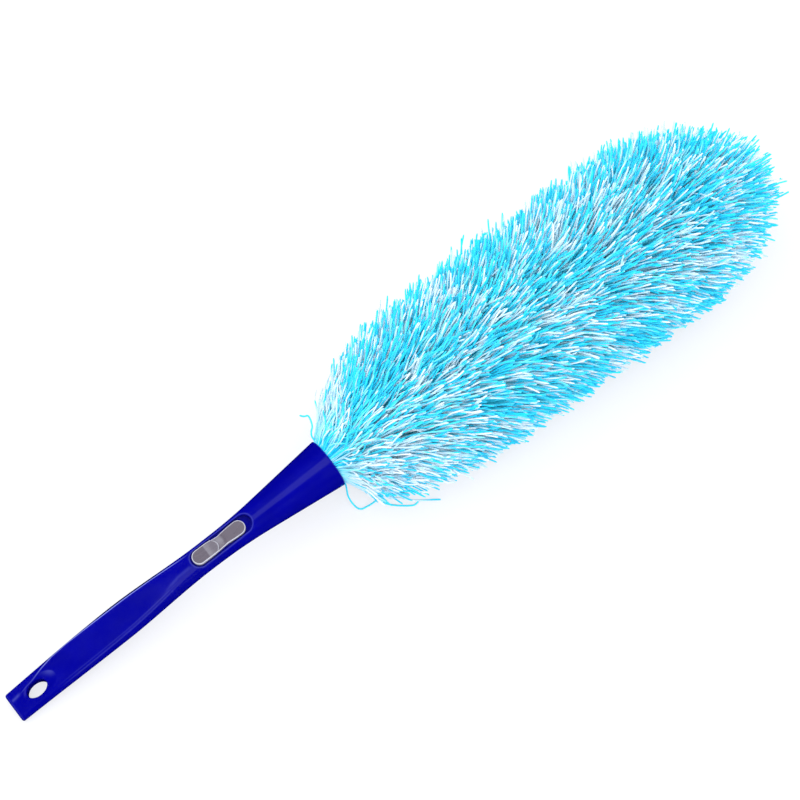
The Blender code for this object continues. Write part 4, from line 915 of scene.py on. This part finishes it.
def outer_rings():
    """The handle's outer surface as rings of points that follow the crease beside its flat top."""
    places = [END_ROUNDING * (1 - np.cos(np.linspace(0, math.pi / 2, 9)))[:-1]]
    start = END_ROUNDING
    for end, step in RING_SPANS:
        places.append(np.arange(start, end, step))
        start = end
    places.append(HANDLE_LENGTH - RIM_ROUNDING * np.cos(np.linspace(0, math.pi / 2, 8)))
    inside = 1 - (1 - np.linspace(0, 1, TOP_POINTS)) ** TOP_CROWDING
    outside = (1 - np.cos(np.linspace(0, math.pi, SIDE_POINTS))) / 2
    low_turn = np.linspace(0, math.pi, LOWER_POINTS)[1:-1]
    rings = []
    for s in np.concatenate(places):
        half_width, top, flat, bottom, power = section_sizes(s)
        crease = smooth_max(crease_share(top, flat, power), LEAST_CREASE, LEAST_CREASE / 2)
        upper = np.concatenate([crease * inside[:-1], crease + (1 - crease) * outside])
        y_up = half_width * upper
        z_up = top_height(s, y_up) - dish_depth(s, y_up)
        z_up = np.maximum(z_up - z_up[-1] * upper ** EDGE_CLOSING, 0)
        right = np.stack([-y_up[::-1], z_up[::-1]], -1)
        left = np.stack([y_up[1:], z_up[1:]], -1)
        y_low = half_width * np.sign(np.cos(low_turn)) * np.abs(np.cos(low_turn)) ** (2 / power)
        z_low = -bottom * np.abs(np.sin(low_turn)) ** (2 / power)
        section = np.concatenate([right, left, np.stack([y_low, z_low], -1)])
        section[:, 1] += centre_height(s)
        rings.append([(s - HANDLE_LENGTH, y, z) for y, z in section])
    return rings


def temporary(name, vertices, faces, marked=False):
    """A working solid, whose faces carry the second slot where it's marked as a tool."""
    mesh = bpy.data.meshes.new(name)
    mesh.from_pydata([tuple(v) for v in vertices], [], faces)
    shape = bmesh.new()
    shape.from_mesh(mesh)
    bmesh.ops.recalc_face_normals(shape, faces=shape.faces[:])
    for face in shape.faces:
        face.material_index = 1 if marked else 0
        face.smooth = True
    shape.to_mesh(mesh)
    shape.free()
    mesh.materials.append(BLUE)
    mesh.materials.append(COVER)
    obj = bpy.data.objects.new(name, mesh)
    bpy.context.scene.collection.objects.link(obj)
    return obj


def rings_solid(name, rings, marked=True):
    vertices = [point for ring in rings for point in ring]
    return temporary(name, vertices, loft_faces(len(rings), len(rings[0])), marked)


def box_rings(stations, half_width, low, high):
    rings = []
    for x in stations:
        w, a, b = half_width(x), low(x), high(x)
        rings.append([(x, w, a), (x, w, b), (x, -w, b), (x, -w, a)])
    return rings


def box_solid(name, xs, half_width, zs):
    return rings_solid(name, box_rings(xs, lambda x: half_width, lambda x: zs[0], lambda x: zs[1]))


def column(name, x, radius, low, high, steps=64):
    turn = 2 * math.pi * np.arange(steps) / steps
    return rings_solid(name, [
        [(x + radius * math.cos(a), radius * math.sin(a), z) for a in turn] for z in (low, high)
    ])


def turned(name, profile, steps=96):
    turn = 2 * math.pi * np.arange(steps) / steps
    return rings_solid(name, [[(x, r * math.cos(a), r * math.sin(a)) for a in turn] for x, r in profile])


def stadium_outline(start, end, half_width, steps=32, straight=60):
    """Points round a shape with half-round ends, each with its outward direction."""
    points = []
    low, high = start + half_width, end - half_width
    for middle, after, first in ((high, low, -math.pi / 2), (low, high, math.pi / 2)):
        for turn in first + np.linspace(0, math.pi, steps):
            points.append((middle + half_width * math.cos(turn), half_width * math.sin(turn),
                           math.cos(turn), math.sin(turn)))
        side = -math.sin(first)
        for share in np.linspace(0, 1, straight + 2)[1:-1]:
            points.append((middle + (after - middle) * share, side * half_width, 0.0, side))
    return points


def oval_outline(x, radius, stretch, steps=96):
    points = []
    for turn in 2 * math.pi * np.arange(steps) / steps:
        ahead, beside = math.cos(turn) / stretch, math.sin(turn)
        length = math.hypot(ahead, beside)
        points.append((x + radius * stretch * math.cos(turn), radius * math.sin(turn),
                       ahead / length, beside / length))
    return points


def surface_height(x, y):
    s = x + HANDLE_LENGTH
    return float(centre_height(s) + top_height(s, y) - dish_depth(s, y))


def lipped_cutter(name, outline, floor, lip):
    """A column up from the floor that flares into a rounded lip along the handle's upper surface."""
    room = [max(min(lip, LIP_ROOM_SHARE * (surface_height(x, y) - floor)), lip / 5) for x, y, _, _ in outline]

    def ring(step_share, height):
        points = []
        for (x, y, ahead, beside), r in zip(outline, room):
            x, y = x + ahead * r * step_share, y + beside * r * step_share
            points.append((x, y, height(x, y, r)))
        return points

    rings = [ring(0, lambda x, y, r: floor)]
    for turn in np.linspace(0, LIP_TURN, 8):
        rings.append(ring(
            1 - math.cos(turn), lambda x, y, r: surface_height(x, y) - r * (1 - math.sin(turn))
        ))
    rings.append(ring(LIP_TOP_SHARE, lambda x, y, r: surface_height(x, y) + LIP_RISE))
    rings.append(ring(LIP_TOP_SHARE, lambda x, y, r: OVERRUN + GRIP_TOP))
    return rings_solid(name, rings)


def cut(target, tool, operation="DIFFERENCE"):
    modifier = target.modifiers.new(tool.name, "BOOLEAN")
    modifier.operation = operation
    modifier.solver = "EXACT"
    modifier.object = tool
    return tool


def finish_solid(obj, shell, name, material, angle, painted_shading_and_wear=None):
    """Applies the cuts, carries the whole shell's normals over to what is left of it, and seats it."""
    bpy.context.view_layer.update()
    depsgraph = bpy.context.evaluated_depsgraph_get()
    mesh = bpy.data.meshes.new_from_object(obj.evaluated_get(depsgraph))
    mesh.name = name
    mesh.shade_smooth()
    mesh.set_sharp_from_angle(angle=angle)
    if shell:
        tree = BVHTree.FromPolygons([v.co for v in shell.vertices], [p.vertices for p in shell.polygons])
        smooth = {}
        normals = [(0.0, 0.0, 0.0)] * len(mesh.loops)
        for polygon in mesh.polygons:
            if polygon.material_index:
                continue
            for k in polygon.loop_indices:
                i = mesh.loops[k].vertex_index
                if i not in smooth:
                    place, _, face, _ = tree.find_nearest(mesh.vertices[i].co)
                    corners = shell.polygons[face].vertices
                    away = [1 / ((shell.vertices[c].co - place).length + 1e-7) for c in corners]
                    blend = sum((shell.vertices[c].normal * w for c, w in zip(corners, away)), Vector())
                    smooth[i] = blend.normalized()
                if smooth[i].dot(polygon.normal) > LEAST_AGREEMENT:
                    normals[k] = tuple(smooth[i])
        mesh.normals_split_custom_set(normals)
    for polygon in mesh.polygons:
        polygon.material_index = 0
    mesh.materials.clear()
    mesh.materials.append(material)
    # Painted highlights and painted shade, and the thumb slide's rim wear, stored as a mesh attribute
    if painted_shading_and_wear:
        places = np.empty(len(mesh.vertices) * 3)
        mesh.vertices.foreach_get("co", places)
        layer = mesh.attributes.new("painted_light_and_wear", "FLOAT", "POINT")
        layer.data.foreach_set("value", painted_shading_and_wear(*places.reshape(-1, 3).T).astype(np.float32))
    mesh.transform(LAID_DOWN)
    result = bpy.data.objects.new(name, mesh)
    bpy.context.scene.collection.objects.link(result)
    return result


def drop_temporary(kept):
    for obj in list(bpy.data.objects):
        if obj.type == "MESH" and obj not in kept:
            bpy.data.objects.remove(obj)


def socket_radius(x):
    return cone_radius(x + HANDLE_LENGTH) - WALL


def below_cover(name, start, end, sink):
    stations = np.linspace(start, end, 60) - HANDLE_LENGTH
    return rings_solid(name, box_rings(
        stations,
        lambda x: GRIP_WIDTH / 2 + OVERRUN,
        lambda x: centre_height(x + HANDLE_LENGTH) - NECK_BOTTOM - 2 * OVERRUN,
        lambda x: centre_height(x + HANDLE_LENGTH) - cover_face_along(x + HANDLE_LENGTH) - sink,
    ))


def screw_seat(place):
    return centre_height(place) - bottom_along(place) + COUNTERBORE_DEPTH


def table_block():
    table = box_solid("table", (-TABLE_REACH, TABLE_REACH), TABLE_HALF_WIDTH, (-TABLE_DEPTH, 0.0))
    table.data.transform(LAID_DOWN.inverted())
    return table


def build_cavity():
    stations = list(np.linspace(COVER_START + CAVITY_END_GAP - HANDLE_LENGTH, RECESS_REAR - WALL, 40))
    stations += [RECESS_REAR, NECK_CAVITY_FRONT]

    def high(x):
        s = x + HANDLE_LENGTH
        _, top, flat, _, _ = section_sizes(s)
        open_top = centre_height(s) + min(flat, top) - WALL
        return min(open_top, CAVITY_TOP) if x >= RECESS_REAR - WALL else open_top

    cavity = rings_solid("cavity", box_rings(
        stations,
        lambda x: min(section_sizes(x + HANDLE_LENGTH)[0], NECK_WIDTH / 2) - WALL - GAP,
        lambda x: centre_height(x + HANDLE_LENGTH) - cover_face_along(x + HANDLE_LENGTH) - OVERRUN / 2,
        high,
    ))
    for place in SCREW_PLACES:
        z = centre_height(place)
        cut(cavity, column("post", place - HANDLE_LENGTH, POST_RADIUS, z - NECK_BOTTOM, z + GRIP_TOP))
    clamp_z = (LEG_BOTTOM, LEG_BOTTOM + LEAF_CLAMP_LENGTH / 2)
    cut(cavity, box_solid("rib", (BUTTON_REAR, BUTTON_REAR + LEAF_CLAMP_LENGTH), NECK_WIDTH, clamp_z))
    return cavity


def build_handle():
    kept = set(bpy.data.objects)
    body = rings_solid("handle_outer", outer_rings(), marked=False)
    shell = body.data.copy()
    cut(body, below_cover("cover_space", COVER_START, COVER_END, 0))
    cut(body, build_cavity())
    bore = cut(body, turned("socket", [
        (-SOCKET_DEPTH, PLUG_NOSE_RADIUS + PLUG_CLEARANCE),
        (TAPER_START, PLUG_NOSE_RADIUS + PLUG_CLEARANCE),
        (TAPER_START, socket_radius(TAPER_START)),
        (-RIM_ROUNDING, socket_radius(-RIM_ROUNDING)),
        (-RIM_ROUNDING / 3, socket_radius(0) + RIM_ROUNDING / 4),
        (OVERRUN, socket_radius(0) + OVERRUN),
    ]))
    cut(bore, rings_solid("key", box_rings(
        (-PLUG_SETBACK - KEY_LENGTH, -PLUG_SETBACK),
        lambda x: KEY_WIDTH / 2,
        lambda x: -socket_radius(x) - WALL,
        lambda x: -socket_radius(x) + KEY_HEIGHT,
    )))
    channel_x = (COVER_END - HANDLE_LENGTH - OVERRUN, TAPER_START + GAP)
    cut(body, box_solid(
        "channel", channel_x, LEAF_WIDTH / 2 + GAP,
        (LEAF_HEIGHT - LEAF_THICKNESS / 2 - LEAF_FLEX, -PLUG_NOSE_RADIUS / 2),
    ))
    cut(body, lipped_cutter(
        "recess",
        stadium_outline(RECESS_REAR, RECESS_FRONT, BUTTON_WIDTH / 2 + BUTTON_GAP),
        RECESS_FLOOR, LIP_RADIUS,
    ))
    slot_x = (
        BUTTON_MIDDLE - STEM_LENGTH / 2 - BUTTON_GAP,
        BUTTON_MIDDLE + STEM_LENGTH / 2 + BUTTON_TRAVEL + BUTTON_GAP,
    )
    cut(body, box_solid("slot", slot_x, STEM_WIDTH / 2 + BUTTON_GAP, (CAVITY_TOP - GAP, RECESS_FLOOR + GAP)))
    hole_x = HOLE_AT - HANDLE_LENGTH
    cut(body, lipped_cutter(
        "hang_hole",
        oval_outline(hole_x, HOLE_WIDTH / 2, HOLE_LENGTH / HOLE_WIDTH),
        float(centre_height(HOLE_AT)) - GRIP_TOP, LIP_RADIUS * 0.8,
    ))
    for place in SCREW_PLACES:
        x, low = place - HANDLE_LENGTH, screw_seat(place)
        cut(body, column("pilot", x, SCREW_RADIUS + GAP, low, low + SCREW_LENGTH + GAP, 24))
    cut(body, table_block())
    # The grip's painted highlights and painted shade go on as a mesh attribute
    handle = finish_solid(body, shell, "handle_moulding", BLUE, SMOOTH_ANGLE, painted_grip_light)

    cover = rings_solid("cover_outer", outer_rings(), marked=False)
    cut(cover, below_cover("cover_block", COVER_START + GAP, COVER_END - GAP, GAP), "INTERSECT")
    for place in SCREW_PLACES:
        x, seat = place - HANDLE_LENGTH, screw_seat(place)
        cut(cover, column("way", x, SCREW_RADIUS + GAP, seat - GAP, centre_height(place), 24))
        cut(cover, column("sink", x, SCREW_HEAD_RADIUS + GAP, seat - GRIP_BOTTOM, seat, 36))
    relief_x = (BUTTON_REAR + LEAF_CLAMP_LENGTH + CAVITY_END_GAP, COVER_END - HANDLE_LENGTH + OVERRUN)
    cut(cover, box_solid(
        "relief", relief_x, LEAF_WIDTH / 2 + GAP, (LEAF_HEIGHT - LEAF_THICKNESS / 2 - LEAF_FLEX, 0)
    ))
    cut(cover, table_block())
    back = finish_solid(cover, shell, "cover_moulding", COVER, SMOOTH_ANGLE)
    drop_temporary(kept | {handle, back})
    for piece, node, slot in (
        (handle, "handle_body", "handle_plastic"), (back, "handle_back_cover", "cover_plastic"),
    ):
        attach(piece, "handle")
        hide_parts(node)


def button_face(x, y, half_width):
    """Thumb face: a level pad with a ridged arc for its edge, a scoop, then the second pad."""
    share = (x - BUTTON_REAR) / BUTTON_LENGTH
    arc = PAD_END + ARC_BULGE * (1 - (y / half_width) ** 2)
    slope = PAD_SLOPE * smooth_step(share, PAD_SLOPE_AT, arc)
    ridge = RIDGE * np.exp(-((share - arc) / RIDGE_SHARE) ** 2)
    drop = sum(depth * smooth_step(share, arc, arc + reach) for depth, reach in SCOOP_DROPS)
    rise_end = SCOOP_END + RISE_AFTER * (1 - np.abs(y) / half_width)
    rise = SECOND_PAD_RISE * smooth_step(share, SCOOP_END - RISE_BEFORE, rise_end)
    return BUTTON_TOP - PAD_CROWN * (y / half_width) ** 2 - slope + ridge - drop + rise


def button_waist(x):
    """How much the thumb slide draws in at each side beside its scoop."""
    middle = BUTTON_LENGTH * (PAD_END + SCOOP_END + WAIST_AHEAD) / 2
    return BUTTON_WAIST * near(x - BUTTON_REAR - middle, WAIST_REACH)


def build_button():
    """The thumb slide, with its stem and the bore for the slide's screw."""
    kept = set(bpy.data.objects)
    half_width, low = BUTTON_WIDTH / 2 - RIM_INSET, RECESS_FLOOR + GAP
    rear, front = BUTTON_REAR + RIM_INSET, BUTTON_FRONT - FRONT_INSET
    curve = half_width * (1 - np.cos(np.linspace(0.06, math.pi / 2, 26)))
    middle = np.arange(rear + half_width + BUTTON_STEP, front - half_width - 0.0001, BUTTON_STEP)
    stations = np.concatenate([rear + curve, middle, front - curve[::-1]])
    shares = np.sin(np.linspace(-math.pi / 2, math.pi / 2, 57))
    rings = []
    for x in stations:
        off = max(rear + half_width - x, x - front + half_width, 0)
        w = math.sqrt(max(half_width ** 2 - off ** 2, 1e-10)) - button_waist(x)
        y = w * shares
        inset = half_width - button_waist(x) - np.hypot(off, y)
        lack = np.clip(BUTTON_CHAMFER - inset, 0, BUTTON_CHAMFER)
        edge = BUTTON_CHAMFER - np.sqrt(BUTTON_CHAMFER ** 2 - lack ** 2)
        z = button_face(x, y, half_width) - edge
        rings.append([(x, -w, low)] + [(x, a, b) for a, b in zip(y, z)] + [(x, w, low)])
    button = rings_solid("button", rings, marked=False)
    stem_x = (BUTTON_MIDDLE - STEM_LENGTH / 2, BUTTON_MIDDLE + STEM_LENGTH / 2)
    cut(button, box_solid("stem", stem_x, STEM_WIDTH / 2, (CAVITY_TOP, RECESS_FLOOR + 2 * GAP)), "UNION")
    pilot_top = CAVITY_TOP - GAP - SLIDE_THICKNESS + SLIDE_SCREW_LENGTH + GAP
    cut(button, column("pilot", BUTTON_MIDDLE, SLIDE_SCREW_RADIUS + GAP, 0, pilot_top, 24))

    # Painted light on the thumb slide: a bright rim, partly a worn chamfer and partly a painted edge
    # highlight; painted highlights on the band, scoop and ridge; painted shade at the fold and the second
    # pad's start
    def painted_shading_and_wear(x, y, z):
        off = np.maximum(np.maximum(rear + half_width - x, x - front + half_width), 0)
        inset = half_width - button_waist(x) - np.hypot(off, y)
        rim = 1 - smooth_step(inset, RIM_WIDTH * 0.75, RIM_WIDTH)
        arc = PAD_END + ARC_BULGE * (1 - (y / half_width) ** 2)
        share = (x - BUTTON_REAR) / BUTTON_LENGTH
        ridge = RIDGE_TONE * near(share - arc, RIDGE_TONE_SHARE)
        band = BAND_TONE * smooth_step(share, *BAND_START) * (1 - BAND_LOSS * smooth_step(share, *BAND_FADE))
        scoop = SCOOP_TONE * between(share, (arc, arc + 0.02), (SCOOP_END - 0.05, SCOOP_END))
        bulge = FOLD_BULGE * (1 - np.abs(y) / half_width)
        fold = FOLD_TONE * near(share - SCOOP_END - bulge + FOLD_BACK, FOLD_SHARE)
        start = SECOND_PAD_TONE * between(share, (SCOOP_END, SCOOP_END + 0.02), SECOND_PAD_FADE)
        tone = band * (share < arc) + scoop * near(y - SCOOP_MIDDLE, SCOOP_WIDTH)
        tone = tone - fold * near(y - FOLD_MIDDLE, FOLD_WIDTH) - start
        on_top = z > button_face(x, y, half_width) - BUTTON_CHAMFER * 1.01
        return np.where(on_top, np.where(inset < RIM_WIDTH, rim, np.maximum(tone, ridge)), 0)

    piece = finish_solid(button, None, "button_moulding", GREY, BUTTON_SMOOTH_ANGLE, painted_shading_and_wear)
    drop_temporary(kept | {piece})
    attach(piece, "button")
    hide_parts("release_button")


build_handle()
build_button()


# Floor, light and camera

FLOOR_SIZE, FLOOR_COLOUR, FLOOR_WHITE_SHARE = 6.0, (0.91, 0.90, 0.96), 0.68
SKY_COLOUR = (0.42, 0.49, 0.58)
WHITE, COOL = (1.0, 1.0, 1.0), (0.98, 0.99, 1.0)

# Each lamp's name, place, aim, size, watts and colour, and whether gloss mirrors it
LAMPS = (
    ("top_light", (0, 0, 2.0), (0, 0, 0), (2.6, 2.6), 26, WHITE, False),
    ("key_light", (-0.25, 1.35, 1.55), (0, 0, 0), (1.9, 1.3), 17, WHITE, False),
    ("near_light", (0.3, -1.6, 1.1), (0, 0, 0), (1.8, 1.2), 14, COOL, False),
    ("tip_light", (1.7, 0.1, 1.1), (0.1, 0, 0), (1.2, 1.8), 9, COOL, False),
    ("grip_light", (-1.8, -0.1, 1.1), (-0.1, 0, 0), (1.2, 1.8), 9, COOL, False),
    ("streak_light", (-0.25, -0.15, 2.0), (-0.15, 0, 0), (1.2, 0.90), 1.8, WHITE, True),
)


def show_white(tree, lit, white, share, output_kind):
    """Mixes a share of white in for camera rays alone, and puts the result out."""
    seen = add_node(tree, "ShaderNodeLightPath").outputs["Is Camera Ray"]
    factor = maths(tree, "MULTIPLY", seen, share)
    mixed = add_node(tree, "ShaderNodeMixShader", {0: factor, 1: lit.outputs[0], 2: white.outputs[0]})
    output = next(n for n in tree.nodes if n.type == output_kind)
    tree.links.new(mixed.outputs[0], output.inputs["Surface"])


def build_floor():
    material, tree, shader = node_material("floor_white")
    tree.nodes.remove(shader)
    diffuse = add_node(tree, "ShaderNodeBsdfDiffuse", {"Color": (*FLOOR_COLOUR, 1)})
    glow = add_node(tree, "ShaderNodeEmission", {"Color": (*WHITE, 1), "Strength": 1.0})
    show_white(tree, diffuse, glow, FLOOR_WHITE_SHARE, "OUTPUT_MATERIAL")
    half = FLOOR_SIZE / 2
    corners = [(-half, -half, 0), (half, -half, 0), (half, half, 0), (-half, half, 0)]
    floor = mesh_object("floor", corners, [(0, 1, 2, 3)], material, smooth=False)
    floor.visible_glossy = False


def build_world():
    """An even, faintly blue sky that fills the shadows, has no mirror image and is white to the camera."""
    world = bpy.data.worlds.new("studio")
    world.use_nodes = True
    tree = world.node_tree
    background = tree.nodes["Background"]
    set_inputs(tree, background, {"Color": (*SKY_COLOUR, 1), "Strength": 1.0})
    white = add_node(tree, "ShaderNodeBackground", {"Color": (*WHITE, 1), "Strength": 1.0})
    show_white(tree, background, white, 1.0, "OUTPUT_WORLD")
    world.cycles_visibility.glossy = False
    bpy.context.scene.world = world


def area_light(name, place, target, size, energy, colour, mirrored):
    data = bpy.data.lights.new(name, "AREA")
    data.shape = "RECTANGLE"
    data.size, data.size_y = size
    data.energy = energy
    data.color = colour
    light = bpy.data.objects.new(name, data)
    light.location = place
    light.visible_glossy = mirrored
    light.rotation_euler = (Vector(target) - Vector(place)).to_track_quat("-Z", "Y").to_euler()
    bpy.context.scene.collection.objects.link(light)


def build_lights():
    """Broad soft light all round, and a weak lamp whose mirror image draws the gloss."""
    for lamp in LAMPS:
        area_light(*lamp)


def build_camera():
    azimuth, elevation = CAMERA_AZIMUTH, CAMERA_ELEVATION
    ahead = Vector((
        math.sin(azimuth) * math.cos(elevation),
        math.cos(azimuth) * math.cos(elevation),
        -math.sin(elevation),
    ))
    right = Vector((math.cos(azimuth), -math.sin(azimuth), 0))
    up = right.cross(ahead)
    data = bpy.data.cameras.new("camera")
    data.sensor_width = SENSOR_WIDTH
    data.lens = FOCAL_PIXELS / PICTURE_PIXELS * SENSOR_WIDTH
    data.clip_end = 20
    camera = bpy.data.objects.new("camera", data)
    turn = Matrix((right, up, -ahead)).transposed().to_4x4()
    camera.matrix_world = Matrix.Translation(Vector(CAMERA_TARGET) - ahead * CAMERA_DISTANCE) @ turn
    bpy.context.scene.collection.objects.link(camera)
    bpy.context.scene.camera = camera


build_floor()
build_world()
build_lights()
build_camera()
bpy.context.scene.view_settings.view_transform = "Standard"
